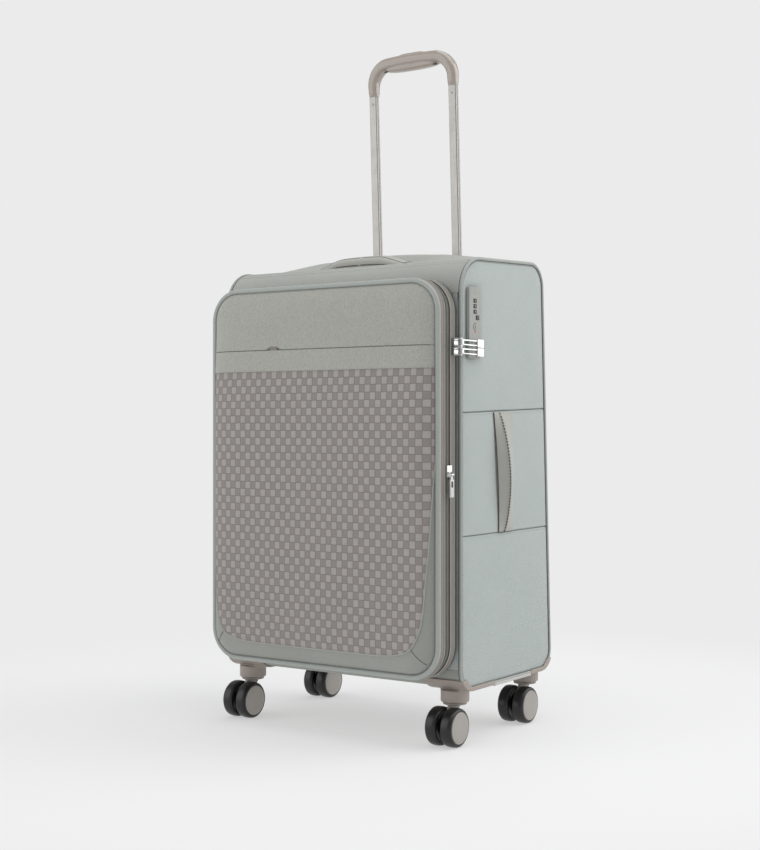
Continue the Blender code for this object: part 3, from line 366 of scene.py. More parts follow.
def jacquardChecks(name):
    finish, tree, shader, place = newFinish(name, checks["dark"], 0.78,
                                            **{"Sheen Weight": 0.15, "Sheen Roughness": 0.4, "IOR": 1.46})
    split = add(tree, "SeparateXYZ", {0: place})
    cells, edges = [], []
    for axis, size in (("X", checks["width"]), ("Z", checks["height"])):
        count = add(tree, "Math", {0: split.outputs[axis], 1: 1 / size}, operation="MULTIPLY")
        cells.append(add(tree, "Math", {0: count.outputs[0]}, operation="FLOOR").outputs[0])
        part = add(tree, "Math", {0: count.outputs[0]}, operation="FRACT")
        away = add(tree, "Math", {0: part.outputs[0], 1: 0.5}, operation="SUBTRACT")
        edges.append(add(tree, "Math", {0: away.outputs[0]}, operation="ABSOLUTE").outputs[0])
    total = add(tree, "Math", {0: cells[0], 1: cells[1]}, operation="ADD")
    half = add(tree, "Math", {0: total.outputs[0], 1: 0.5}, operation="MULTIPLY")
    odd = add(tree, "Math", {0: half.outputs[0]}, operation="FRACT")
    isLight = add(tree, "Math", {0: odd.outputs[0], 1: 0.25}, operation="GREATER_THAN")
    nearEdge = add(tree, "Math", {0: edges[0], 1: edges[1]}, operation="MAXIMUM")
    dip = add(tree, "MapRange", {"Value": nearEdge.outputs[0], "From Min": 0.41, "From Max": 0.50},
              interpolation_type="SMOOTHSTEP")
    waves = [add(tree, "TexWave", {"Vector": place, "Scale": waveTurn / (width * mm), "Distortion": 2.0,
                                   "Detail": 1.0, "Detail Scale": 3.0}, bands_direction=axis).outputs["Fac"]
             for axis, width in (("Z", checks["levelThread"]), ("X", checks["uprightThread"]))]
    threads = add(tree, "Mix", {0: isLight.outputs[0], 2: waves[0], 3: waves[1]}, data_type="FLOAT")
    drift = add(tree, "TexNoise", {"Vector": place, "Scale": 60.0, "Detail": 2.0})
    tone = mixColour(tree, isLight.outputs[0], colour(checks["dark"]), colour(checks["light"]))
    for source, strength, shade in ((threads.outputs[0], 0.22, "dip"), (drift.outputs["Fac"], 0.30, "worn"),
                                    (dip.outputs[0], 0.62, "dip")):
        factor = add(tree, "Math", {0: source, 1: strength}, operation="MULTIPLY")
        tone = mixColour(tree, factor.outputs[0], tone, colour(checks[shade]))
    tree.links.new(tone, shader.inputs["Base Color"])
    relief = add(tree, "Bump", {"Height": threads.outputs[0], "Strength": 0.45, "Distance": 0.3 * mm})
    tree.links.new(relief.outputs[0], shader.inputs["Normal"])
    return finish


# Moulded plastic: a fine spark-eroded grain that breaks the highlight, slightly uneven gloss.
def mouldedPlastic(name, base, roughness, grainMm=0.7, depth=0.12, coat=0.0):
    finish, tree, shader, place = newFinish(name, base, roughness,
                                            **{"IOR": 1.5, "Coat Weight": coat, "Coat Roughness": 0.12})
    grain = add(tree, "TexNoise", {"Vector": place, "Scale": 1 / (grainMm * mm), "Detail": 2.0})
    patch = add(tree, "TexNoise", {"Vector": place, "Scale": 35.0, "Detail": 3.0})
    dirt = add(tree, "MapRange", {"Value": patch.outputs["Fac"], "From Min": 0.3, "From Max": 0.7,
                                  "To Max": 0.14})
    tone = mixColour(tree, dirt.outputs[0], colour(base), colour(base, 0.72))
    tree.links.new(tone, shader.inputs["Base Color"])
    gloss = add(tree, "MapRange", {"Value": patch.outputs["Fac"], "To Min": roughness * 0.85,
                                   "To Max": roughness * 1.2})
    tree.links.new(gloss.outputs[0], shader.inputs["Roughness"])
    relief = add(tree, "Bump", {"Height": grain.outputs["Fac"], "Strength": depth, "Distance": 0.2 * mm})
    tree.links.new(relief.outputs[0], shader.inputs["Normal"])
    return finish


# Metal with the marks of how it was worked: brush lines along z for drawn tube, none for plated.
def workedMetal(name, base, roughness, brush=0.0, brushMm=0.4):
    finish, tree, shader, place = newFinish(name, base, roughness, 1.0)
    stretch = add(tree, "Mapping", {"Vector": place, "Scale": (1, 1, 0.02 if brush else 1)})
    lines = add(tree, "TexNoise", {"Vector": stretch.outputs[0], "Scale": 1 / (brushMm * mm), "Detail": 2.0})
    wear = add(tree, "TexNoise", {"Vector": place, "Scale": 90.0, "Detail": 3.0})
    gloss = add(tree, "MapRange", {"Value": wear.outputs["Fac"], "To Min": roughness * 0.7,
                                   "To Max": roughness * 1.4})
    tree.links.new(gloss.outputs[0], shader.inputs["Roughness"])
    mark = add(tree, "MapRange", {"Value": lines.outputs["Fac"], "From Min": 0.35, "From Max": 0.65,
                                  "To Max": 0.5})
    tone = mixColour(tree, mark.outputs[0], colour(base), colour(base, 0.8))
    tree.links.new(tone, shader.inputs["Base Color"])
    relief = add(tree, "Bump", {"Height": lines.outputs["Fac"], "Strength": brush or 0.05,
                                "Distance": 0.1 * mm})
    tree.links.new(relief.outputs[0], shader.inputs["Normal"])
    return finish


# Cloths: light and dark colour, rib and grain in millimetres, depth of rib and of grain.
# The side and top twills are one cloth in two copies: the side copy, also used on the back and round the lid
# opening, is paler and greener as a painted sheen, and the top copy is neutral grey.
sideCloth = wovenCloth("twill_polyester_side_painted_sheen", "CCD3D1", "8F9997", 4.0, 1.0, 1.0, 0.35)
topCloth = wovenCloth("twill_polyester_top", "BBBDB8", "8F918C", 3.6, 1.0, 0.8, 0.35)
frontCloth = wovenCloth("crepe_polyester_front", "C2C3BB", "85877F", 3.2, 1.5, 0.30, 0.75, stretch=2.2)
borderCloth = wovenCloth("plain_polyester_border", "AFB1AB", "82847F", 1.6, 0.9, 0.40, 0.30)
pipingCloth = wovenCloth("bound_piping", "BCC1BD", "8E938F", 1.8, 0.7, 0.45, 0.20, roughness=0.7)
gussetCloth = wovenCloth("plain_polyester_gusset", "9D958F", "746D68", 1.5, 0.8, 0.40, 0.25)
tapeCloth = wovenCloth("zip_tape", "7C7D77", "545550", 1.2, 0.6, 0.45, 0.20)
ridgeCloth = wovenCloth("bound_ridge", "BABAB3", "93948D", 1.2, 0.6, 0.35, 0.20)
handleCloth = wovenCloth("plain_polyester_handle", "C1C1BB", "999993", 1.5, 0.9, 0.40, 0.30)
liningCloth = wovenCloth("taffeta_lining", "8F8B86", "75716D", 1.0, 0.7, 0.20, 0.15, roughness=0.6)
webbing = wovenCloth("nylon_webbing", "3C3B3A", "262525", 1.4, 0.8, 0.60, 0.25, roughness=0.65)
checkCloth = jacquardChecks("jacquard_checks")
thread = wovenCloth("sewing_thread", "8D8F8A", "6F716D", 0.8, 0.4, 0.50, 0.20, roughness=0.6)
darkThread = wovenCloth("sewing_thread_dark", "5E5D59", "42413E", 0.8, 0.4, 0.50, 0.20, roughness=0.6)
seamThread = wovenCloth("sewing_thread_olive", "55503F", "35322A", 0.8, 0.4, 0.50, 0.20, roughness=0.6)
# Plastics: colour, roughness, grain in millimetres and its depth.
coilNylon = mouldedPlastic("nylon_coil", "77766F", 0.42, 0.5, 0.1)
guardPlastic = mouldedPlastic("moulded_polypropylene", "A1978F", 0.42, 0.8, 0.16)
forkPlastic = mouldedPlastic("moulded_nylon_fork", "98928B", 0.38, 0.8, 0.12)
gripPlastic = mouldedPlastic("satin_abs_grip", "A2988F", 0.20, 1.2, 0.03, coat=0.6)
capPlastic = mouldedPlastic("painted_abs_cap", "A5A09B", 0.40, 0.6, 0.08)
lightPlastic = mouldedPlastic("moulded_abs_light", "C4C1BE", 0.38, 0.8, 0.12)
lockPlastic = mouldedPlastic("painted_abs_lock", "9FA19C", 0.58, 0.6, 0.10)
darkPlastic = mouldedPlastic("moulded_abs_black", "2B2B2C", 0.38, 0.7, 0.12)
tyreRubber = mouldedPlastic("polyurethane_tyre", "141415", 0.34, 0.9, 0.10)
dotPaint = mouldedPlastic("red_paint", "B3474E", 0.35, 0.5, 0.05)
whitePaint = mouldedPlastic("white_paint", "E2E2DF", 0.5, 0.4, 0.05)
# Metals: colour, roughness, depth and width of the brush lines in millimetres.
tubeMetal = workedMetal("anodised_aluminium", "A3A19D", 0.33, 0.02, 0.9)
darkTube = workedMetal("anodised_aluminium_dark", "8B857C", 0.38, 0.05, 0.9)
platedZinc = workedMetal("nickel_plated_zinc", "D2D2D2", 0.17)
steelWire = workedMetal("zinc_plated_steel", "9A9A9A", 0.34)
# The pocket slider's dark metal is painted shade: it makes the slider read as the shadowed recess under the lifted
# flap.
recessShadeMetal = workedMetal("slider_metal_painted_recess_shade", "6A6662", 0.30)
print("finishes made")

# ---- cloth shell
shell = {"wall": 3.0 * mm, "skin": 0.0006, "puff": 3.0 * mm, "puffReach": 20 * mm,
         "upperSeam": (0.4503, 0.4587), "lowerSeam": (0.2838, 0.2848), "seamWidth": 1.0 * mm,
         "seamDepth": 2.6 * mm, "seamRows": (0.4506, 0.4545, 0.4585, 0.2843), "seamReach": 0.009,
         "stitchDrop": 3.4 * mm, "sag": 0.9 * mm, "sagWidth": 14 * mm, "wave": 0.35 * mm,
         "lowRadius": 0.028, "rearRadius": 0.034, "frontRadius": 0.050, "frontDrop": 0.010,
         "pipingRadius": 2.3 * mm, "rearLean": math.radians(2.5)}
rearBottom = rightHigh.y - caseShift[1]
rearTop = rearBottom - (bodyTop - bodyBottom) * math.tan(shell["rearLean"])
frontTop = bodyTop - shell["frontDrop"]
sideCorners = [(bodyFront, bodyBottom), (rearBottom, bodyBottom), (rearTop, bodyTop), (bodyFront, frontTop)]
sideRadii = [shell["lowRadius"], shell["lowRadius"], shell["rearRadius"], shell["frontRadius"]]
sideOutline = roundedOutline(sideCorners, sideRadii, 4 * mm)
lock = {"y": bodyFront + 0.0285, "z": frontTop - 0.089, "halfY": 0.015, "halfZ": 0.0485,
        "holeY": 0.0125, "holeZ": 0.045, "proud": 5.3 * mm}
# Gathers: pitch and height of the ripples, and (height on the case, spread, strength) of each patch.
gathers = {"pitch": 0.0135, "height": 0.16 * mm, "depth": 0.055,
           "patches": ((0.41, 0.05, 1.0), (0.50, 0.06, 1.0), (0.31, 0.03, 0.5))}


# Distance inside the side outline, as the least distance to any of its points.
def insideDistance(y, z):
    best = np.full(y.shape, 1.0)
    for chunk in np.array_split(sideOutline[0], 12):
        away = np.hypot(y[..., None] - chunk[:, 0], z[..., None] - chunk[:, 1]).min(-1)
        best = np.minimum(best, away)
    return best


# Front and rear end of the side outline at each height, read off its two halves.
def spanAt(z):
    points = sideOutline[0]
    lowest, highest = points[:, 1].argmin(), points[:, 1].argmax()
    ring = np.roll(points, -lowest, axis=0)
    top = (highest - lowest) % len(points)
    rear, front = ring[:top + 1], np.vstack([ring[top:], ring[:1]])[::-1]
    return np.interp(z, front[:, 1], front[:, 0]), np.interp(z, rear[:, 1], rear[:, 0])


# Height of a side seam at a depth: a straight line from the front to the rear edge.
def seamHeight(y, ends):
    return ends[0] + (ends[1] - ends[0]) * (y - bodyFront) / (rearBottom - bodyFront)


# Swell of a side panel: puff * (1 - exp(-distance / reach)), pinched at the two seams, with
# faint gathers beside the front edge and slow waves, and flat under the lock.
def sideSwell(y, z, sign):
    inside = insideDistance(y, z)
    swell = shell["puff"] * (1 - np.exp(-inside / shell["puffReach"]))
    for ends in (shell["upperSeam"], shell["lowerSeam"]):
        line = seamHeight(y, ends)
        swell -= shell["seamDepth"] * bump(z, line, shell["seamWidth"]) * ease(inside / 0.006)
        swell -= shell["sag"] * bump(z, line, shell["sagWidth"]) * ease(inside / 0.02)
    ripple = np.sin(2 * np.pi * z / gathers["pitch"] + 2.0 * np.sin(z * 41) + 30 * y)
    fade = np.exp(-(y - bodyFront) / gathers["depth"]) * ease(inside / 0.012)
    strength = sum(share * bump(z, middle, spread) for middle, spread, share in gathers["patches"])
    swell += gathers["height"] * ripple * fade * strength
    swell += shell["wave"] * np.sin(19 * y + 11 * z + sign) * ease(inside / 0.03)
    if sign > 0:
        away = np.maximum(np.abs(y - lock["y"]) - lock["halfY"], np.abs(z - lock["z"]) - lock["halfZ"])
        swell *= ease((away + 0.001) / 0.010)
    return swell


# Side panel as rows at each height that run from the front to the rear edge, with more rows
# in the round corners and at the seams. Each seam holds a dark thread, with stitches below it.
def sideCover(name, sign, node):
    arcs = [bodyBottom + shell["lowRadius"] * (1 - np.cos(np.linspace(0, 1.5, 12))),
            frontTop - shell["frontRadius"] + shell["frontRadius"] * np.sin(np.linspace(0, quarterTurn, 16)),
            bodyTop - shell["rearRadius"] + shell["rearRadius"] * np.sin(np.linspace(0, quarterTurn, 14))]
    seams = [np.linspace(at - shell["seamReach"], at + shell["seamReach"], 25) for at in shell["seamRows"]]
    levels = np.concatenate([np.linspace(bodyBottom, bodyTop, 130)] + arcs + seams)
    levels = np.unique(np.round(np.clip(levels, bodyBottom + 0.00005, bodyTop - 0.00005), 5))
    left, right = spanAt(levels)
    share = np.linspace(0, 1, 58)
    share = share - 0.11 * np.sin(2 * np.pi * share) / (2 * np.pi) * 4
    y = left[:, None] + (right - left)[:, None] * share
    z = np.broadcast_to(levels[:, None], y.shape)
    outer = np.stack([sign * (halfWidth - shell["skin"] + sideSwell(y, z, sign)), y, z], -1)
    inner = np.stack([np.full(y.shape, sign * (halfWidth - shell["wall"])), y, z], -1)
    keep = None
    if sign > 0:
        middleY, middleZ = (y[:-1, :-1] + y[1:, 1:]) / 2, (z[:-1, :-1] + z[1:, 1:]) / 2
        keep = (np.abs(middleY - lock["y"]) >= lock["holeY"]) | (np.abs(middleZ - lock["z"]) >= lock["holeZ"])
    piece = attach(makeSlab(name, outer, inner, [sideCloth, liningCloth], keep), "case", node)
    for label, ends in (("upper", shell["upperSeam"]), ("lower", shell["lowerSeam"])):
        rear = np.interp(ends[1], [bodyBottom, bodyTop], [rearBottom, rearTop])
        lineY = np.linspace(bodyFront + 0.003, rear - 0.003, 90)
        lineZ = seamHeight(lineY, ends)
        x = sign * (halfWidth - shell["skin"] + sideSwell(lineY, lineZ, sign))
        path = np.stack([x, lineY, lineZ], 1)
        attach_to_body(tube(f"{name}_{label}_seam", path, 0.55 * mm, darkThread, up=(sign, 0, 0), sides=6), "case")
        lineZ = lineZ - shell["stitchDrop"]
        x = sign * (halfWidth - shell["skin"] + sideSwell(lineY, lineZ, sign) + 0.00002)
        path = np.stack([x, lineY, lineZ], 1)
        row = stitchRow(f"{name}_{label}_seam_stitches", path, thread, up=(sign, 0, 0), radius=0.2)
        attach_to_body(row, "case")


# Piping round a side panel, with dark tubes on both sides of it that paint the shadow lines there,
# and a row of stitches inside it.
def bodyPiping(label, sign):
    for name, radius, sides, out, height, finish in (
            ("body_piping", shell["pipingRadius"], 12, -0.0004, halfWidth - 0.0002, pipingCloth),
            ("piping_shadow_line_panel", 0.6 * mm, 6, -0.0029, halfWidth + 0.0002, darkThread),
            ("piping_shadow_line_edge", 0.6 * mm, 6, 0.0004, halfWidth - 0.0028, darkThread)):
        profile = roundProfile(radius, sides, (out, sign * height))
        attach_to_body(ringSweep(f"{label}_{name}", sideOutline, profile, "side", finish), "case")
    fine = roundedOutline(sideCorners, sideRadii, 1.5 * mm)
    path = lay(fine[0] - fine[1] * 0.0046, sign * (halfWidth + 0.0003), "side")
    path = np.vstack([path, path[:1]])
    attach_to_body(stitchRow(f"{label}_body_piping_stitches", path, thread, up=(sign, 0, 0), radius=0.24), "case")


for label, sign in (("right", 1), ("left", -1)):
    sideCover(f"{label}_side_cover", sign, f"{label}_side_panel")
    bodyPiping(label, sign)
print("side panels made")

# The domed band over the top: along the body's outline from the rear face over to the front
# one, lifted by crown * weight * (1 - (x / halfWidth) squared). The weight fades in from both
# ends, and a dip lets the carry handle sit down into the crown.
dome = {"step": 3 * mm, "crown": 20 * mm, "rearReach": 90 * mm, "frontStart": 58 * mm, "frontReach": 56 * mm,
        "dipY": bodyFront + 0.071, "dipHalfY": 0.025, "dipHalfX": 0.108, "dipEdge": 0.022, "dipShare": 0.9}


def domePath():
    points, normals = roundedOutline(sideCorners, sideRadii, dome["step"])
    low = frontTop - shell["frontRadius"] - 0.0003
    rearSide = points[:, 0] > 0.05
    upper = (points[:, 1] > low) & ~(rearSide & (points[:, 1] < bodyTop - shell["rearRadius"] - 0.0005))
    order = np.arange(len(points))
    ring = np.roll(order, -order[upper & rearSide][0])
    ring = ring[upper[ring]]
    return points[ring], normals[ring]


topPoints, topNormals = domePath()
topLength = pathLength(topPoints)
fromFront = topLength[-1] - shell["frontRadius"] * math.pi / 6 - topLength
topWeight = ease(topLength / dome["rearReach"]) * ease((fromFront - dome["frontStart"]) / dome["frontReach"])
stations = halfWidth * np.sin(np.linspace(-1, 1, 61) * math.pi / 2)
dip = bump(topPoints[:, :1], dome["dipY"], dome["dipHalfY"])
dip = dip * ease((dome["dipHalfX"] - np.abs(stations)) / dome["dipEdge"])
crownLift = dome["crown"] * topWeight[:, None] * (1 - (stations / halfWidth) ** 2)
crownLift = crownLift * (1 - dome["dipShare"] * dip)


# The top surface at an offset along its normal: path point + normal * offset, plus the crown.
def topSurface(offset, half):
    x = np.broadcast_to(stations / halfWidth * half, crownLift.shape)
    y = topPoints[:, :1] + topNormals[:, :1] * offset + 0 * x
    z = topPoints[:, 1:] + topNormals[:, 1:] * offset + crownLift
    return np.stack([x, y, z], -1)


handleFrame = {"y": 0.0788, "z": 0.6776, "tubeSpacing": 0.144, "legBottom": 0.2665, "mouthHalfX": 0.0860,
               "mouthHalfY": 0.0160}
outer, inner = topSurface(0.0004, halfWidth - 0.0012), topSurface(-0.003, halfWidth - 0.0034)
middles = (outer[:-1, :-1] + outer[1:, 1:]) / 2
mouth = np.abs(middles[..., 0]) < handleFrame["mouthHalfX"]
mouth &= np.abs(middles[..., 1] - handleFrame["y"]) < handleFrame["mouthHalfY"]
topCover = makeSlab("top_cover", outer, inner, [topCloth, liningCloth], ~mouth)
attach(topCover, "case", "top_panel")
seamAt = int(np.argmin(np.abs(topLength - (topLength[-1] - shell["frontRadius"]))))
for offset in (0, 3):
    path = outer[seamAt - offset, 2:-2]
    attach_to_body(stitchRow(f"top_cover_seam_{offset}", path, thread, up=(0, -0.5, 0.86), radius=0.26), "case")


# Depth of the body's front at a height: flat, then back round the upper front arc.
def frontDepth(z):
    radius = shell["frontRadius"]
    over = np.clip(z - (frontTop - radius), 0, radius - 0.0001)
    return bodyFront + radius - np.sqrt(radius ** 2 - over ** 2)


lidShape = {"half": halfWidth - 0.0065, "low": bodyBottom + 0.017, "high": frontTop - 0.029, "radius": 0.046}


def lidOutline(inset, step=4 * mm):
    half, low, high = lidShape["half"] - inset, lidShape["low"] + inset, lidShape["high"] - inset
    corners = [(-half, low), (half, low), (half, high), (-half, high)]
    return roundedOutline(corners, [max(lidShape["radius"] - inset, 0.004)] * 4, step)


# The front face round the opening: straight lines from the body's edge in to the opening's.
rim = {"half": halfWidth - 0.0020, "low": bodyBottom + 0.022, "high": frontTop - 0.020, "middle": 0.36,
       "inset": 0.0125, "outer": 0.0008, "inner": 0.0034}
opening = lidOutline(rim["inset"], 5 * mm)[0]
edge = np.stack([np.clip(opening[:, 0] * 2, -rim["half"], rim["half"]),
                 np.clip((opening[:, 1] - rim["middle"]) * 2 + rim["middle"], rim["low"], rim["high"])], 1)
share = np.linspace(0, 1, 5)[:, None, None]
flat = edge[None] * (1 - share) + opening[None] * share
flat = np.concatenate([flat, flat[:, :1]], 1)
outer, inner = [lay(flat, frontDepth(flat[..., 1]) + rim[side], "lid") for side in ("outer", "inner")]
frontRim = makeSlab("front_rim_cover", outer, inner, [sideCloth, liningCloth])
attach(frontRim, "case", "front_frame")

# Back panel: a slab on the leaning rear plane that swells a little between its edges, with a
# pinched and stitched seam on each side of the tubes.
back = {"low": bodyBottom + 0.028, "high": bodyTop - 0.0345, "puff": 1.5 * mm, "pinch": 1.6 * mm,
        "pinchX": 0.098, "pinchWidth": 1.8 * mm, "seamX": 0.102, "inset": 0.002, "fade": 0.03, "skin": 0.0004}
x = np.linspace(-1, 1, 41)[None] * (halfWidth - back["inset"])
z = np.linspace(back["low"], back["high"], 61)[:, None]
fade = ease((z - back["low"]) / back["fade"]) * ease((back["high"] - z) / back["fade"])
swell = back["puff"] * (1 - (x / halfWidth) ** 4) * fade
pinch = back["pinch"] * bump(np.abs(x), back["pinchX"], back["pinchWidth"])
swell = swell - pinch * ease((z - back["low"]) / 0.02)
rearPlane = rearBottom - (z - bodyBottom) * math.tan(shell["rearLean"]) + 0 * x
outer = np.stack([x + 0 * z, rearPlane - back["skin"] + swell, z + 0 * x], -1)
inner = np.stack([x + 0 * z, rearPlane - shell["wall"], z + 0 * x], -1)
backCover = makeSlab("back_cover", outer, inner, [sideCloth, liningCloth])
attach(backCover, "case", "back_panel")
for label, sign in (("right", 1), ("left", -1)):
    column = int(np.argmin(np.abs(x[0] - sign * back["seamX"])))
    path = outer[2:-2, column] + np.array([0, 0.0001, 0])
    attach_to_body(stitchRow(f"back_cover_{label}_seam", path, thread, up=(0, 1, 0), radius=0.26), "case")
print("cloth shell made")

# ---- lid: gusset strip, zips, padded front pocket
lidEdge = lidOutline(0.0)
zips = {"step": 0.45 * mm, "coilPitch": 2.0 * mm, "coilRadius": 1.05 * mm, "coilRipple": 0.30,
        "tape": 0.7 * mm}


# A strip that runs round the lid between two depths, bulged out by bulge * sin(pi * share) ** 0.7.
def lidStrip(name, frontY, rearY, bulge, finish, body, out=0.0, thickness=1.2 * mm):
    share = np.linspace(0, 1, 7)
    depth = frontY + (rearY - frontY) * share
    swell = out + bulge * np.sin(np.pi * share) ** 0.7
    profile = [np.stack([swell, depth], 1), np.stack([out - thickness + 0 * share, depth], 1)[::-1]]
    piece = ringSweep(name, lidEdge, np.concatenate(profile), "lid", finish)
    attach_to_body(piece, body)
    return piece


gusset = lidStrip("lid_gusset_strip", -0.1432, -0.1312, 0.7 * mm, gussetCloth, "lid_frame")
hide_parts("lid_gusset")
lidStrip("lid_side_strip", -0.1668, -0.1584, 0.5 * mm, gussetCloth, "lid_front", out=-0.0002)
# Bound ridges: depth, place outwards, radius in millimetres.
for name, at, out, radius, finish, body in (("ridge_front", -0.1582, 0.0004, 0.95, ridgeCloth, "lid_front"),
                                            ("ridge_middle", -0.1436, 0.0003, 0.9, ridgeCloth, "lid_frame"),
                                            ("ridge_rear", -0.1345, 0.0007, 0.75, ridgeCloth, "lid_frame"),
                                            ("ridge_edge", -0.1306, 0.0004, 0.80, tapeCloth, "lid_frame")):
    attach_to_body(ringSweep(f"lid_{name}", lidEdge, roundProfile(radius * mm, 8, (out, at)), "lid", finish), body)
# Zip tapes lie a little inside the ridges, and the coils on them are waves of coilPitch.
for name, low, high, out, body in (("expansion_tape_rear", -0.1504, -0.1442, -0.0012, "lid_frame"),
                                   ("expansion_tape_front", -0.1578, -0.1506, -0.0012, "lid_front"),
                                   ("main_tape_front", -0.1302, -0.1268, -0.0022, "lid_frame"),
                                   ("main_tape_rear", -0.1266, -0.1196, -0.0022, "case")):
    lidStrip(name, low, high, 0.0, tapeCloth, body, out=out, thickness=zips["tape"])
fineEdge = lidOutline(0.0, zips["step"])
length = np.arange(len(fineEdge[0])) * zips["step"]
wave = 1 + zips["coilRipple"] * np.sin(2 * np.pi * length / zips["coilPitch"])
for name, at, out, body in (("expansion_coil_rear", -0.1494, -0.0009, "lid_frame"),
                            ("expansion_coil_front", -0.1514, -0.0009, "lid_front"),
                            ("main_coil_front", -0.1276, -0.0018, "lid_frame"),
                            ("main_coil_rear", -0.1257, -0.0018, "case")):
    profile = roundProfile(zips["coilRadius"], 6, (out, at))
    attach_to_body(ringSweep(name, fineEdge, profile, "lid", coilNylon, ripple=wave), body)

# Expansion cloth: a pleat between the two expansion tapes, folded inwards by depth *
# sin(pi * share) ** 0.8.
pleat = {"rear": -0.1440, "front": -0.1574, "edge": -2.2 * mm, "depth": 19 * mm, "thickness": 0.9 * mm,
         "bendRear": -0.1448, "bendFront": -0.1566, "height": 0.36}
share = np.linspace(0, 1, 25)
middle = np.stack([pleat["edge"] - pleat["depth"] * np.sin(np.pi * share) ** 0.8,
                   pleat["rear"] + (pleat["front"] - pleat["rear"]) * share], 1)
along = np.gradient(middle, axis=0)
square = unit(np.stack([-along[:, 1], along[:, 0]], 1)) * pleat["thickness"] / 2
profile = np.concatenate([middle + square, (middle - square)[::-1]])
pleatPiece = ringSweep("expansion_pleat", lidOutline(0.0, 5 * mm), profile, "lid", gussetCloth)
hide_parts("expansion_fold")
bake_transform(pleatPiece)

# Hinge strip down the left side: cloth that joins the case to the lid.
strip = {"low": 0.150, "high": 0.575, "rear": -0.1205, "front": -0.1345, "out": 0.0010, "thickness": 0.0008,
         "bendRear": -0.1240, "bendFront": -0.1310, "height": 0.36}
z = np.linspace(strip["low"], strip["high"], 50)[:, None]
y = np.linspace(strip["rear"], strip["front"], 15)[None]
outer = np.stack([np.full((50, 15), -(lidShape["half"] + strip["out"])), y + 0 * z, z + 0 * y], -1)
hinge = makeSlab("lid_hinge_strip", outer, outer + np.array([strip["thickness"], 0, 0]), gussetCloth)
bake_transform(hinge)

# Fat corded piping round the lid's front edge, with its stitches inside.
piping = {"middle": 3.7 * mm, "radius": 3.75 * mm, "y": -0.1678, "stitchInset": 0.0030, "stitchY": -0.1708}
profile, outline = roundProfile(piping["radius"], 14, (0, piping["y"])), lidOutline(piping["middle"], 3 * mm)
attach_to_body(ringSweep("lid_piping", outline, profile, "lid", pipingCloth), "lid_front")
fine = lidOutline(piping["middle"], 1.2 * mm)
path = lay(fine[0] - fine[1] * piping["stitchInset"], piping["stitchY"], "lid")
path = np.vstack([path, path[:1]])
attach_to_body(stitchRow("lid_piping_stitches", path, thread, up=(0, -1, 0), radius=0.26), "lid_front")

pocket = {"base": -0.1665, "rear": -0.1625, "rise": 20.5 * mm, "topRise": 12.5 * mm, "reach": 10 * mm,
          "edgeHalf": 0.1910, "edgeLow": 0.0998, "edgeHigh": 0.6253, "radius": 0.040, "fallFrom": 0.44,
          "fallOver": 0.13, "widerFrom": 0.50, "widerOver": 0.10, "wider": 0.7, "dent": 1.3 * mm,
          "smallDent": 0.5 * mm, "dentFade": 0.04}


# Distance inside the pocket's rounded edge: the usual one for a box with round corners.
def pocketInside(x, z):
    middle, half = (pocket["edgeLow"] + pocket["edgeHigh"]) / 2, (pocket["edgeHigh"] - pocket["edgeLow"]) / 2
    a = np.abs(x) - pocket["edgeHalf"] + pocket["radius"]
    b = np.abs(z - middle) - half + pocket["radius"]
    return pocket["radius"] - np.hypot(np.maximum(a, 0), np.maximum(b, 0)) - np.minimum(np.maximum(a, b), 0)


# The stuffed pocket's front: base - rise * (1 - exp(-inside / reach)), a lower rise near the
# top, and slow dents where the cloth slackens.
def pocketFront(x, z):
    inside = np.maximum(pocketInside(x, z), -0.001)
    fall = ease((z - pocket["fallFrom"]) / pocket["fallOver"])
    rise = pocket["rise"] + (pocket["topRise"] - pocket["rise"]) * fall
    reach = pocket["reach"] * (1 + pocket["wider"] * ease((z - pocket["widerFrom"]) / pocket["widerOver"]))
    dents = pocket["dent"] * np.sin(13 * x + 2) * np.sin(17 * z + 1)
    dents = dents + pocket["smallDent"] * np.sin(31 * x - 9 * z)
    return pocket["base"] - rise * (1 - np.exp(-inside / reach)) + dents * ease(inside / pocket["dentFade"])


# Rows at each height from one edge of the pocket to the other, closer together near the edges.
def pocketRows(levels, columns, inset=0.0):
    radius = pocket["radius"]
    below, above = pocket["edgeLow"] + radius - levels, levels - pocket["edgeHigh"] + radius
    over = np.maximum(np.maximum(below, above), 0)
    half = pocket["edgeHalf"] - radius + np.sqrt(np.maximum(radius ** 2 - over ** 2, 1e-8)) - inset
    share = np.linspace(-1, 1, columns)
    share = np.sin(share * math.pi / 2) * 0.35 + share * 0.65
    return half[:, None] * share, np.broadcast_to(levels[:, None], (len(levels), columns))


turns = np.sin(np.linspace(0, math.pi / 2, 14))
levels = np.concatenate([pocket["edgeLow"] + pocket["radius"] * (1 - turns), np.linspace(0.14, 0.585, 90),
                         pocket["edgeHigh"] - pocket["radius"] * (1 - turns)])
x, z = pocketRows(np.unique(np.round(levels, 5)), 90)
outer, inner = np.stack([x, pocketFront(x, z), z], -1), np.stack([x, np.full(x.shape, pocket["rear"]), z], -1)
core = makeSlab("lid_shell_core", outer, inner, [borderCloth, liningCloth])
attach(core, "lid_front", "lid_shell")

# Check panel: leaf-shaped lower corners, whose half width edgeX follows the height edgeZ. Each
# cell is a low pillow whose edges dip, and the light cells stand prouder than the dark ones.
panel = {"top": 0.5098, "bottom": 0.1245, "cornerRise": 12.5 * mm, "proud": 1.0 * mm, "skirt": 2.2 * mm,
         "rows": 290, "columns": 282, "pillow": 0.25 * mm, "lightPillow": 0.30 * mm,
         "edgeZ": [0.137, 0.145, 0.155, 0.170, 0.190, 0.2157, 0.242, 0.260, 0.310, 0.400, 0.52],
         "edgeX": [0.161, 0.1665, 0.1712, 0.1757, 0.1783, 0.1800, 0.1820, 0.1835, 0.1860, 0.1905, 0.1908]}


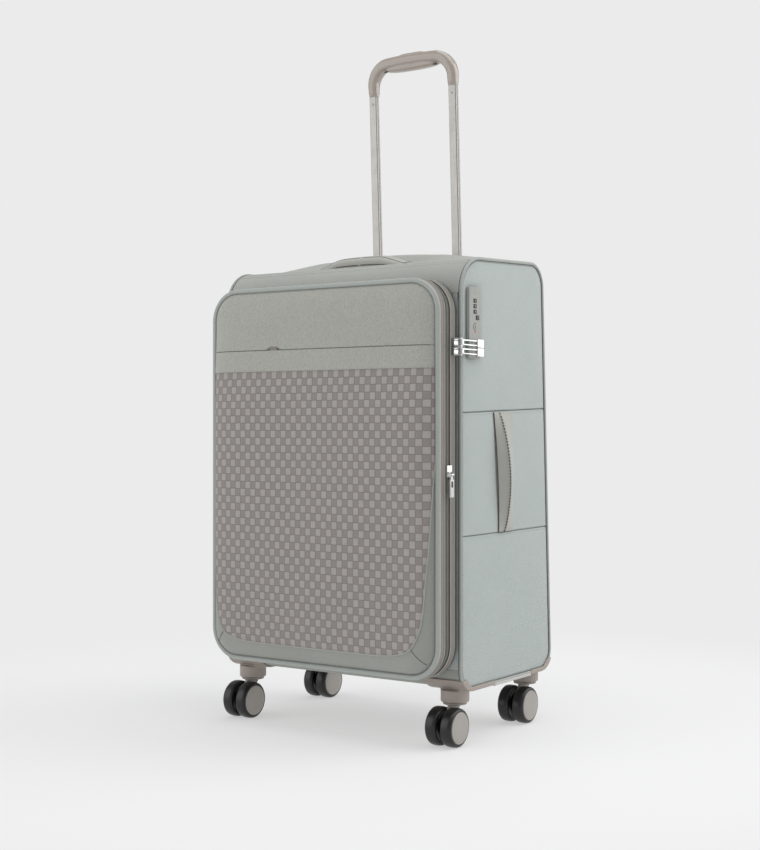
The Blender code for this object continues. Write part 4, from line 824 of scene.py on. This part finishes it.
def panelGrid(rows, columns):
    u = np.linspace(-1, 1, columns)[None]
    bottom = panel["bottom"] + panel["cornerRise"] * np.abs(u) ** 9
    z = bottom + (panel["top"] - bottom) * np.linspace(0, 1, rows)[:, None]
    return u * np.interp(z, panel["edgeZ"], panel["edgeX"]), z


# Height of the pillows: (1 - (2 * distance from the cell's middle) ** 6), both ways multiplied.
def checkRelief(x, z):
    a, b = (x + caseShift[0]) / checks["width"], z / checks["height"]
    light = np.mod(np.floor(a) + np.floor(b), 2)
    pillow = (1 - (2 * np.abs(a % 1 - 0.5)) ** 6) * (1 - (2 * np.abs(b % 1 - 0.5)) ** 6)
    return (panel["pillow"] + panel["lightPillow"] * light) * pillow


rows, columns = panel["rows"], panel["columns"]
x, z = panelGrid(rows, columns)
fromSide = ease((1 - np.abs(np.linspace(-1, 1, columns))) / 0.02)[None]
border = np.minimum(fromSide, ease(np.linspace(0, 1, rows) / 0.012)[:, None])
front = pocketFront(x, z) - panel["proud"] * (0.25 + 0.75 * border) - checkRelief(x, z)
points = np.stack([x, front, z], -1).reshape(-1, 3)
index = np.arange(rows * columns).reshape(rows, columns)
loop = np.concatenate([index[0], index[1:, -1], index[-1, -2::-1], index[-2:0:-1, 0]])
behind = len(points) + np.arange(len(loop))
faces = gridFaces(rows, columns).tolist()
faces += np.stack([loop, np.roll(loop, -1), np.roll(behind, -1), behind], 1).tolist() + [behind.tolist()]
points = np.concatenate([points, points[loop] + np.array([0, panel["skirt"], 0])])
checkPanel = makePiece("check_panel", points, faces, checkCloth)
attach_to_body(checkPanel, "lid_front")
x, z = panelGrid(160, 200)
flat = np.stack([x, z], -1)
path = spaced(np.concatenate([flat[::-1, -1], flat[0, ::-1][1:], flat[1:, 0]]), 2.5 * mm)
path = np.stack([path[:, 0], pocketFront(path[:, 0], path[:, 1]) - 0.0008, path[:, 1]], 1)
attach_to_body(tube("check_panel_bead", path, 0.95 * mm, ridgeCloth, up=(0, -1, 0)), "lid_front")
mitre = {"x": 0.1615, "run": 0.0175, "z": 0.1365, "drop": 0.0200}  # sewn corner joints of the border
for label, sign in (("right", 1), ("left", -1)):
    share = np.linspace(0, 1, 14)
    x, z = sign * (mitre["x"] + mitre["run"] * share), mitre["z"] - mitre["drop"] * share
    path = np.stack([x, pocketFront(x, z) - 0.0001, z], 1)
    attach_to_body(tube(f"border_mitre_{label}", path, 0.42 * mm, darkThread, up=(0, -1, 0), sides=6), "lid_front")
print("lid and check panel made")

# Upper pocket panel and the band under it. The panel's hem lifts at the slider's recess.
flap = {"hem": 0.5398, "bandTop": 0.5392, "bandBottom": 0.5096, "proud": 2.5 * mm, "bandProud": 2.9 * mm,
        "notchX": -0.0725, "notchHalf": 0.0105, "notchLift": 3.2 * mm}


def pocketPatch(name, levels, columns, proud, lift=0.0):
    x, z = pocketRows(levels, columns, 0.0004)
    roll = ease((z - levels[0] + 0.0009) / 0.0022)
    notch = ease(1.6 - np.abs(x - flap["notchX"]) / flap["notchHalf"])
    z = z + lift * notch * (1 - ease((z - levels[0]) / 0.012))
    swell = proud * ease(pocketInside(x, z) / 0.0045 + 0.12) * (0.55 + 0.45 * roll)
    base = pocketFront(x, z)
    outer = np.stack([x, base - swell, z], -1)
    inner = np.stack([x, base + np.maximum(0.0012 - swell, 0.0008), z], -1)
    piece = makeSlab(name, outer, inner, frontCloth)
    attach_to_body(piece, "lid_front")
    return piece, outer


levels = np.concatenate([flap["hem"] + np.array([0, 0.0005, 0.0011, 0.0018, 0.003, 0.005]),
                         np.linspace(0.547, 0.585, 14),
                         pocket["edgeHigh"] - 0.0002 - pocket["radius"] * (1 - turns)])
levels = np.unique(np.round(levels, 5))
upperPanel, upperGrid = pocketPatch("upper_pocket_panel", levels, 150, flap["proud"], flap["notchLift"])
levels = np.concatenate([flap["bandBottom"] + np.array([0, 0.0005, 0.0012, 0.0025, 0.005]),
                         np.linspace(0.517, flap["bandTop"], 12)])
band, bandGrid = pocketPatch("pocket_band", levels, 120, flap["bandProud"])
for name, path, back, rise, radius, finish in (
        ("upper_pocket_hem", upperGrid[0, 2:-2], 0.0004, 0.0006, 1.0, frontCloth),
        ("pocket_band_hem", bandGrid[0, 2:-2], 0.0005, 0.0006, 0.9, frontCloth),
        ("pocket_zip_tape", bandGrid[-1, 3:-3], 0.0016, 0.0008, 1.1, tapeCloth)):
    path = path + np.array([0, back, rise])
    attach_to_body(tube(name, path, radius * mm, finish, up=(0, -1, 0)), "lid_front")
print("pocket front made")


# ---- carry handles
# Half of a strap between a fixed end and its middle: a closed profile of (across, out) pairs
# placed at each station along it.
def strapHalf(name, place, profile, shares, finish):
    grid = np.stack([place(share, profile) for share in shares])
    return makePiece(name, grid, tubeFaces(len(grid), len(profile)), finish)


# Line of a strap at one place of its profile.
def strapLine(place, shares, across, out):
    return np.stack([place(share, np.array([[across, out]]))[0] for share in shares])


# Side handle: a cloth strap folded to a ridge. Its front facet rises from a crease beside the
# panel to the ridge, and its outer face falls back to the rear edge; it bows out by
# bow * sin(pi * share) ** 0.75 between the two side seams.
sideHandle = {"low": 0.2852, "high": 0.4515, "bow": 15.0 * mm, "wall": 1.6 * mm, "crease": -0.0290,
              "creaseLean": -0.0140, "ridge": 0.0090, "rear": 0.0105, "rearLean": -0.0015, "foot": 0.0012,
              "ridgeAcross": 0.333, "fixedEnd": 0.006, "freeEnd": 0.008}


def sideHandlePlace(share, profile):
    z = sideHandle["low"] + (sideHandle["high"] - sideHandle["low"]) * share
    bow = math.sin(math.pi * share) ** 0.75
    reach, foot = sideHandle["bow"] * bow, sideHandle["foot"]
    crease = sideHandle["crease"] + sideHandle["creaseLean"] * share
    ridge = crease + sideHandle["ridge"] + 0.0035 * (1 - bow)
    rear = sideHandle["rear"] + sideHandle["rearLean"] * share
    knots = np.array([[crease, foot + 0.0022 * bow], [ridge, foot + 0.001 + reach],
                      [ridge + 0.30 * (rear - ridge), foot + 0.001 + 0.80 * reach],
                      [rear, foot + 0.0012 * bow]])
    at = np.clip(profile[:, 0] * 3, 0, 3)
    y, out = [np.interp(at, np.arange(4), knots[:, k]) for k in (0, 1)]
    out = out + profile[:, 1] * sideHandle["wall"] * (0.5 + 0.5 * bow)
    return np.stack([halfWidth + 0.0006 + out, y, np.full(len(y), z)], 1)


ridgeAt = sideHandle["ridgeAcross"]
across = np.concatenate([np.linspace(0, 0.30, 7), [ridgeAt], np.linspace(0.36, 1.0, 16)])
sideProfile = np.concatenate([np.stack([across, 0.5 + 0.35 * bump(across, ridgeAt, 0.03)], 1),
                              np.stack([across[::-1], np.full(len(across), -0.5)], 1)])
beadProfile = np.array([[ridgeAt - 0.033, 1.0], [ridgeAt, 1.25], [ridgeAt + 0.033, 1.0], [ridgeAt, 0.5]])
for label, low, end, sign in (("upper", 0.5, sideHandle["high"], 1), ("lower", 0.0, sideHandle["low"], -1)):
    shares = np.linspace(low, low + 0.5, 40)
    strap = strapHalf(f"side_handle_{label}", sideHandlePlace, sideProfile, shares, handleCloth)
    bead = strapHalf(f"side_handle_ridge_{label}", sideHandlePlace, beadProfile, shares, handleCloth)
    line = strapLine(sideHandlePlace, shares, ridgeAt + 0.012, 1.25)
    row = stitchRow(f"side_handle_stitches_{label}", line, seamThread, 3.2, 1.2, 1.15, up=(1, -0.4, 0))
    # A dark tube along the crease beside the panel paints the shadow in the gap between the panel and the strap.
    line = strapLine(sideHandlePlace, shares, -0.004, 0.4)
    crease = tube(f"side_handle_crease_shadow_{label}", line, 0.8 * mm, seamThread, up=(1, 0, 0), sides=6)
    for piece in (strap, bead, row, crease):
        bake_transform(piece)
    if label == "upper":
        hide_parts("side_handle")

# Top handle: a flat padded strap across the front slope of the dome, squeezed and thinned
# towards its ends. Its front and rear seams and its end seams are tubes of dark thread.
topHandle = {"half": 0.0785, "width": 0.0340, "thick": 18.5 * mm, "bow": 1.5 * mm, "y": bodyFront + 0.070,
             "seat": frontTop - 0.5 * mm, "slope": 0.16, "fixedEnd": 0.070, "freeEnd": 0.020,
             "endShare": 0.035}
acrossTop = unit(np.array([0, 1, topHandle["slope"]]))
upTop = np.array([0, -acrossTop[2], acrossTop[1]])


def topHandlePlace(share, profile):
    fromEnd = min(share, 1 - share)
    bow = math.sin(math.pi * share) ** 0.8
    width = topHandle["width"] * (0.86 + 0.14 * ease(fromEnd / 0.22))
    thick = topHandle["thick"] * (0.50 + 0.50 * ease(fromEnd / 0.30))
    lift = topHandle["bow"] * bow + thick / 2 - 0.003 * (1 - bow)
    base = np.array([topHandle["half"] * (2 * share - 1), topHandle["y"], topHandle["seat"]])
    return base + acrossTop * profile[:, :1] * width + upTop * (lift + profile[:, 1:] * thick)


turn = around(28)
profile = np.stack([0.5 * signedPower(np.cos(turn), 0.75), 0.5 * signedPower(np.sin(turn), 0.8)], 1)
middle = caseShift + np.array([0, topHandle["y"], 0.67])
for label, low, sign in (("right", 0.5, 1), ("left", 0.0, -1)):
    shares = np.linspace(low, low + 0.5, 36)
    strap = strapHalf(f"top_handle_{label}", topHandlePlace, profile, shares, handleCloth)
    rows = [strap]
    for part, across, out in (("front", -0.50, -0.10), ("rear", -0.30, 0.44)):
        line = strapLine(topHandlePlace, shares[1:-1], across, out)
        rows.append(tube(f"top_handle_{part}_seam_{label}", line, 0.6 * mm, darkThread, up=upTop, sides=6))
    endShare = 0.5 + sign * (0.5 - topHandle["endShare"])
    turns = np.linspace(0.1, math.pi - 0.1, 14)
    line = topHandlePlace(endShare, np.stack([0.5 * np.cos(turns), 0.52 * np.sin(turns)], 1))
    rows.append(tube(f"top_handle_end_seam_{label}", line, 0.7 * mm, darkThread, up=(1, 0, 0), sides=6))
    for piece in rows:
        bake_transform(piece)
    if sign > 0:
        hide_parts("top_handle")
print("carry handles made")


# ---- telescopic handle
# The handle's own frame leans with the back: a local (x, depth, height) is turned about X.
def leaned(points):
    lean = shell["rearLean"]
    x, depth, height = np.moveaxis(np.asarray(points, float), -1, 0)
    return np.stack([x, depth * math.cos(lean) - height * math.sin(lean) + handleFrame["y"],
                     depth * math.sin(lean) + height * math.cos(lean) + handleFrame["z"]], -1)


# Tube section: rounded rectangle with a shallow groove drawn into each side face.
def tubeSection(width, depth, radius, groove):
    x, y = width / 2, depth / 2
    points, normals = roundedOutline([(-x, -y), (x, -y), (x, y), (-x, y)], [radius] * 4, 0.55 * mm)
    dip = groove * bump(points[:, 1], 0.0, 1.0 * mm) * (np.abs(normals[:, 0]) > 0.9)
    return points - normals * dip[:, None]


tubes = {"low": -0.177, "overlap": 0.010, "rows": 24, "rivetBelow": 0.0125, "rivetY": -0.0043,
         "rivet": np.array([(0.0, -0.5), (1.5, -0.45), (1.9, -0.2), (2.0, 0.2)]) * mm}
section = tubeSection(0.0130, 0.0088, 1.3 * mm, 0.9 * mm)
inside = tubeSection(0.0104, 0.0062, 0.8 * mm, 0.6 * mm)
inside = inside[np.argmin(np.linalg.norm(section[:, None] - inside[None], axis=2), axis=1)]
heights = np.linspace(tubes["low"], handleFrame["legBottom"] + tubes["overlap"], tubes["rows"])
for label, sign in (("right", 1), ("left", -1)):
    middleX = sign * handleFrame["tubeSpacing"] / 2
    loops = [np.column_stack([section + [middleX, 0], np.full(len(section), h)]) for h in heights]
    loops += [np.column_stack([inside + [middleX, 0], np.full(len(section), h)]) for h in heights[::-1]]
    grid = leaned(np.stack(loops))
    piece = makePiece(f"{label}_telescopic_tube", grid, gridFaces(*grid.shape[:2], True, True), tubeMetal)
    attach(piece, "pull_handle", f"{label}_inner_tube")
    turn = around(12, 0)
    head = handleFrame["legBottom"] - tubes["rivetBelow"]
    pin = np.stack([np.column_stack([middleX + r * np.cos(turn), np.full(12, tubes["rivetY"] + d),
                                     head + r * np.sin(turn)]) for r, d in tubes["rivet"]])
    faces = gridFaces(4, 12, False, True).tolist() + [list(range(36, 48))]
    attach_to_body(makePiece(f"{label}_tube_rivet", leaned(pin), faces, steelWire), "pull_handle")

# Grip: a squashed circle (superellipse) carried along an arch of two legs and a crowned bar.
# Its width and depth are read off at the distance from either end of the arch.
grip = {"halfX": 0.0718, "barHeight": 0.3108, "cornerRadius": 0.029, "arch": 4.0 * mm, "sides": 32,
        "widthAt": [0, 0.006, 0.030, 0.055, 0.085, 0.115],
        "width": [0.0146, 0.0150, 0.0165, 0.0182, 0.0178, 0.0190],
        "depthAt": [0, 0.006, 0.035, 0.115], "depth": [0.0118, 0.0150, 0.0205, 0.0225]}
low = handleFrame["legBottom"] + 0.0005
radius = grip["cornerRadius"]
corner, shoulder = grip["halfX"] - radius, grip["barHeight"] - radius
turns = np.linspace(0, math.pi / 2, 18)
leg = np.column_stack([np.full(12, grip["halfX"]), np.linspace(low, shoulder, 12)])[:-1]
arc = np.column_stack([corner + radius * np.cos(turns), shoulder + radius * np.sin(turns)])
bar = np.column_stack([np.linspace(corner, 0, 24)[1:], np.full(23, grip["barHeight"])])
halfPath = np.concatenate([leg, arc, bar])
path = np.concatenate([halfPath, (halfPath * [-1, 1])[::-1][1:]])
crown = grip["arch"] * (1 - (path[:, 0] / grip["halfX"]) ** 2)
path[:, 1] += crown * ease((path[:, 1] - low) / 0.02) - 0.0012
along = unit(np.gradient(path, axis=0))
outward = np.stack([along[:, 1], -along[:, 0]], 1)
length = pathLength(path)
fromEnd = np.minimum(length, length[-1] - length)
width = np.interp(fromEnd, grip["widthAt"], grip["width"])
depth = np.interp(fromEnd, grip["depthAt"], grip["depth"])
turn = around(grip["sides"])
out = signedPower(np.cos(turn), 0.72) * width[:, None] / 2
grid = np.stack([path[:, :1] + outward[:, :1] * out, signedPower(np.sin(turn), 0.62) * depth[:, None] / 2,
                 path[:, 1:] + outward[:, 1:] * out], -1)
gripPiece = makePiece("grip_body", leaned(grid), tubeFaces(len(path), grip["sides"]), gripPlastic)
attach(gripPiece, "pull_handle", "grip")


# A low pad with a rounded plan and edges: (half a * cos ** p, half b * sin ** p) rings that
# rise as sqrt(1 - ring squared), closed at the crown and underneath.
def lowPad(halfA, halfB, rise, base, under, power=0.5, sides=36):
    turn = around(sides)
    plan = np.stack([halfA * signedPower(np.cos(turn), power), halfB * signedPower(np.sin(turn), power)], 1)
    slopes = np.linspace(math.pi / 2, 0.12, 9)
    rings = [(1.0, under), *zip(np.sin(slopes), base + rise * np.cos(slopes) ** 0.8)]
    grid = np.stack([np.column_stack([plan * share, np.full(sides, height)]) for share, height in rings])
    return grid, tubeFaces(len(grid), sides)


pad, faces = lowPad(0.0230, 0.0052, 0.0024, 0.3220, 0.3150)
button = makePiece("grip_push_button", leaned(pad), faces, gripPlastic)
attach(button, "grip_button", "grip_button")
belly, faces = lowPad(0.0480, 0.0085, 0.0060, 0.0, -0.0050)
belly = leaned(belly * [1, 1, -1] + [0, -0.0005, 0.3030])
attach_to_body(makePiece("grip_underside_pad", belly, faces, gripPlastic), "pull_handle")
for label, sign in (("right", 1), ("left", -1)):
    pad, faces = lowPad(0.0032, 0.0016, 0.0005, 0.0, -0.0012, sides=16)
    pad = leaned(pad * [1, 1, -1] + [sign * 0.0445, -0.0065, 0.2993])
    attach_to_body(makePiece(f"grip_underside_slot_{label}", pad, faces, darkPlastic), "pull_handle")
print("telescopic handle made")


# ---- wheels
# Turned shapes: each (x, radius) pair of a profile swept round the axle.
def turned(name, centre, profile, outward, finish, sides=48):
    turn = around(sides, 0)
    y, z = centre[1] + profile[:, 1:] * np.cos(turn), centre[2] + profile[:, 1:] * np.sin(turn)
    grid = np.stack([centre[0] + outward * profile[:, :1] + 0 * y, y, z], -1)
    return makePiece(name, grid, tubeFaces(len(profile), sides), finish, shifted=False)


# Profiles from the outer face in, as (along the axle, radius) in millimetres.
tyreProfile = np.array([(8.0, 20.0), (8.6, 22.6), (8.3, 24.2), (6.9, 25.6), (5.0, 26.2), (2.5, 26.42),
                        (0, 26.45), (-2.5, 26.42), (-5.0, 26.2), (-6.9, 25.6), (-8.3, 24.2), (-8.7, 22.6),
                        (-8.1, 20.4), (-6.2, 18.4), (-5.4, 10.5), (-6.2, 9.0), (-7.6, 7.6), (-8.2, 4.2),
                        (-8.2, 3.3)]) * mm
capProfile = np.array([(5.0, 21.0), (8.9, 21.5), (9.35, 21.2), (9.55, 20.4), (9.75, 14.0), (9.9, 6.0),
                       (9.95, 0.6)]) * mm
guardSkin = {"voxel": 1.0 * mm, "smooth": 0.5, "rounds": 9}
for corner in ("front_right", "front_left", "rear_right", "rear_left"):
    forkLow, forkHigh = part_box(f"{corner}_fork")
    forkX = (forkLow.x + forkHigh.x) / 2
    for which in ("outer", "inner"):
        node = f"{corner}_{which}_wheel"
        low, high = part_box(node)
        centre = ((low + high) / 2)[:]
        outward = 1 if centre[0] > forkX else -1
        tyre = turned(f"{node}_tyre", centre, tyreProfile, outward, tyreRubber)
        attach(tyre, node, node)
        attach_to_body(turned(f"{node}_cap", centre, capProfile, outward, capPlastic), node)
    softened(f"{corner}_fork_moulding", f"{corner}_fork", f"{corner}_fork", forkPlastic, 0.5)
    guard = softened(f"{corner}_guard_moulding", f"{corner}_guard", "case", guardPlastic, 0)
    skin = guard.modifiers.new("skin", "REMESH")
    skin.mode, skin.voxel_size, skin.use_smooth_shade = "VOXEL", guardSkin["voxel"], True
    fillets = guard.modifiers.new("fillets", "SMOOTH")
    fillets.factor, fillets.iterations = guardSkin["smooth"], guardSkin["rounds"]
for label in ("right", "left"):
    softened(f"{label}_skid_moulding", f"{label}_base_skid", "case", lightPlastic, 0.8)
print("casters made")

# ---- lock, sliders and hard parts: CAD shapes with softened edges, bevels in millimetres
for name, node, body, finish, width in (
        ("lock_plate", "lock_body", "case", lockPlastic, 0.5),
        ("handle_bezel_moulding", "handle_bezel", "case", gripPlastic, 0.7),
        ("dial_wheel_1", "lock_dial_1", "dial_1", darkPlastic, 0.25),
        ("dial_wheel_2", "lock_dial_2", "dial_2", darkPlastic, 0.25),
        ("dial_wheel_3", "lock_dial_3", "dial_3", darkPlastic, 0.25),
        ("lock_push_button", "lock_button", "lock_button", darkPlastic, 0.3),
        ("key_barrel", "key_cylinder", "key_cylinder", lockPlastic, 0.2),
        ("upper_zip_slider", "upper_main_slider", "upper_slider", platedZinc, 0.45),
        ("lower_zip_slider", "lower_main_slider", "lower_slider", platedZinc, 0.45),
        ("upper_zip_pull", "upper_lock_pull", "upper_pull", platedZinc, 0.4),
        ("lower_zip_pull", "lower_lock_pull", "lower_pull", platedZinc, 0.4),
        ("expansion_zip_slider", "expansion_slider", "expansion_slider", platedZinc, 0.4),
        ("expansion_zip_pull", "expansion_pull", "expansion_pull", platedZinc, 0.3),
        # The pocket slider takes the dark metal as painted shade in its recess.
        ("pocket_zip_slider", "pocket_slider", "pocket_slider", recessShadeMetal, 0.4)):
    softened(name, node, body, finish, width)


# A small raised mark on a face that looks along x: a low oval pad, sizes in millimetres.
def faceMark(name, body, place, halfHigh, halfWide, rise, finish, under=-0.2, sides=20):
    pad, faces = lowPad(halfHigh * mm, halfWide * mm, rise * mm, 0.0, under * mm, power=1.0, sides=sides)
    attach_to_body(makePiece(name, pad[..., ::-1] + np.array(place), faces, finish), body)


# Middle of a CAD node's right face.
def rightFace(node):
    low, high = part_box(node)
    return np.array([high.x, (low.y + high.y) / 2, (low.z + high.z) / 2]) - caseShift


for name, dz, halfHigh, halfWide, finish in (("red_dot", -0.0105, 1.9, 1.9, dotPaint),
                                             ("rim_low", 0.0005, 0.5, 4.2, darkThread),
                                             ("rim_high", 0.0145, 0.5, 4.2, darkThread),
                                             ("end_mark", 0.0415, 0.5, 1.2, darkThread)):
    place = (halfWidth + lock["proud"], lock["y"], lock["z"] + dz)
    faceMark(f"lock_{name}", "case", place, halfHigh, halfWide, 0.25, finish, under=-0.4)
faceMark("key_slot", "key_cylinder", rightFace("key_cylinder"), 2.4, 1.0, 0.15, darkPlastic)
for k in (1, 2, 3):
    place = rightFace(f"lock_dial_{k}") - np.array([0.00005, 0, 0])
    faceMark(f"dial_mark_{k}", f"dial_{k}", place, 0.9, 0.5, 0.12, whitePaint, sides=12)

# CAD nodes that show as they are, with their finishes.
kept = {"bottom_tray": borderCloth, "right_wire_hoop": steelWire, "left_wire_hoop": steelWire,
        "right_outer_tube": darkTube, "left_outer_tube": darkTube, "tube_foot_bracket": darkPlastic,
        "tube_cover": liningCloth, "packing_strap": webbing, "right_lock_pin": steelWire,
        "left_lock_pin": steelWire, "right_release_rod": steelWire, "left_release_rod": steelWire}
for node, finish in kept.items():
    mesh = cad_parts[node].data
    mesh.materials.clear()
    mesh.materials.append(finish)

# ---- studio: pale floor that runs into the backdrop, soft light
studio = {"backdrop": "EBEBEB", "worldStrength": 0.56, "floor": "FBFBFC", "floorGlow": 0.55, "radius": 16,
          "nearEdge": 0.55, "farEdge": 1.15, "floorRings": (0.0, 0.3, 0.6, 1.2, 3.0, 14.0)}
softboxes = {"front": {"place": (-1.9, -2.1, 1.3), "aim": (0, 0, 0.4), "size": (2.8, 2.4), "power": 27},
             "side": {"place": (2.2, 1.9, 1.6), "aim": (0, 0, 0.55), "size": (2.6, 2.8), "power": 44},
             "top": {"place": (0.5, 0.0, 2.6), "aim": (0, 0, 0.4), "size": (2.2, 2.2), "power": 27}}
world = bpy.data.worlds.new("studio")
bpy.context.scene.world = world
world.use_nodes = True
world.node_tree.nodes["Background"].inputs["Color"].default_value = colour(studio["backdrop"])
world.node_tree.nodes["Background"].inputs["Strength"].default_value = studio["worldStrength"]
turn = around(48, 0)
circle = np.column_stack([np.cos(turn), np.sin(turn)])

# The floor is lit near the case, with a floorGlow share of glow mixed in there that paints the
# case's shadow paler; further out it glows as bright as the backdrop.
floorFinish, tree, shader, place = newFinish("studio_floor", studio["floor"], 0.9)
far = add(tree, "VectorMath", {0: place}, operation="LENGTH")
fade = add(tree, "MapRange", {"Value": far.outputs["Value"], "From Min": studio["nearEdge"],
                              "From Max": studio["farEdge"]}, interpolation_type="SMOOTHSTEP")
glow = add(tree, "Emission", {"Color": colour(studio["backdrop"]), "Strength": 1.0})
lifted = add(tree, "MapRange", {"Value": fade.outputs[0], "To Min": studio["floorGlow"], "To Max": 1.0})
mixed = add(tree, "MixShader", {0: lifted.outputs[0], 1: shader.outputs[0], 2: glow.outputs[0]})
tree.links.new(mixed.outputs[0], tree.nodes["Material Output"].inputs["Surface"])
grid = np.stack([np.column_stack([circle * (r + 0.001), 0 * turn]) for r in studio["floorRings"]])
faces = gridFaces(len(grid), 48, False, True).tolist() + [list(range(48))]
makePiece("floor", grid, faces, floorFinish, shifted=False)

# The backdrop is a glowing sphere that only the camera sees.
backdropFinish = bpy.data.materials.new("studio_backdrop")
backdropFinish.use_nodes = True
tree = backdropFinish.node_tree
glow = add(tree, "Emission", {"Color": colour(studio["backdrop"]), "Strength": 1.0})
tree.links.new(glow.outputs[0], tree.nodes["Material Output"].inputs["Surface"])
steps = np.linspace(0.02, math.pi - 0.02, 25)
grid = np.stack([np.column_stack([circle * math.sin(a), np.full(48, math.cos(a))]) for a in steps])
grid = studio["radius"] * grid
backdrop = makePiece("backdrop", grid, gridFaces(25, 48, False, True).tolist(), backdropFinish, shifted=False)
backdrop.visible_diffuse = backdrop.visible_glossy = backdrop.visible_shadow = False
backdrop.visible_transmission = backdrop.visible_volume_scatter = False

for name, box in softboxes.items():
    light = bpy.data.lights.new(f"{name}_softbox", "AREA")
    light.shape = "RECTANGLE"
    light.size, light.size_y = box["size"]
    light.energy = box["power"]
    item = bpy.data.objects.new(f"{name}_softbox", light)
    item.location = box["place"]
    item.rotation_euler = (Vector(box["aim"]) - Vector(box["place"])).to_track_quat("-Z", "Y").to_euler()
    bpy.context.scene.collection.objects.link(item)

view = {"place": (1.2169, -1.7972, 0.434), "turn": math.radians(34.43), "lens": 61.77, "sensor": 36,
        "far": 60}
camera = bpy.data.objects.new("camera", bpy.data.cameras.new("camera"))
camera.location = np.array(view["place"]) + caseShift
camera.rotation_euler = (math.pi / 2, 0, view["turn"])
camera.data.lens, camera.data.sensor_width, camera.data.clip_end = view["lens"], view["sensor"], view["far"]
bpy.context.scene.collection.objects.link(camera)
bpy.context.scene.camera = camera
bpy.context.scene.view_settings.view_transform = "Standard"
print("studio made")
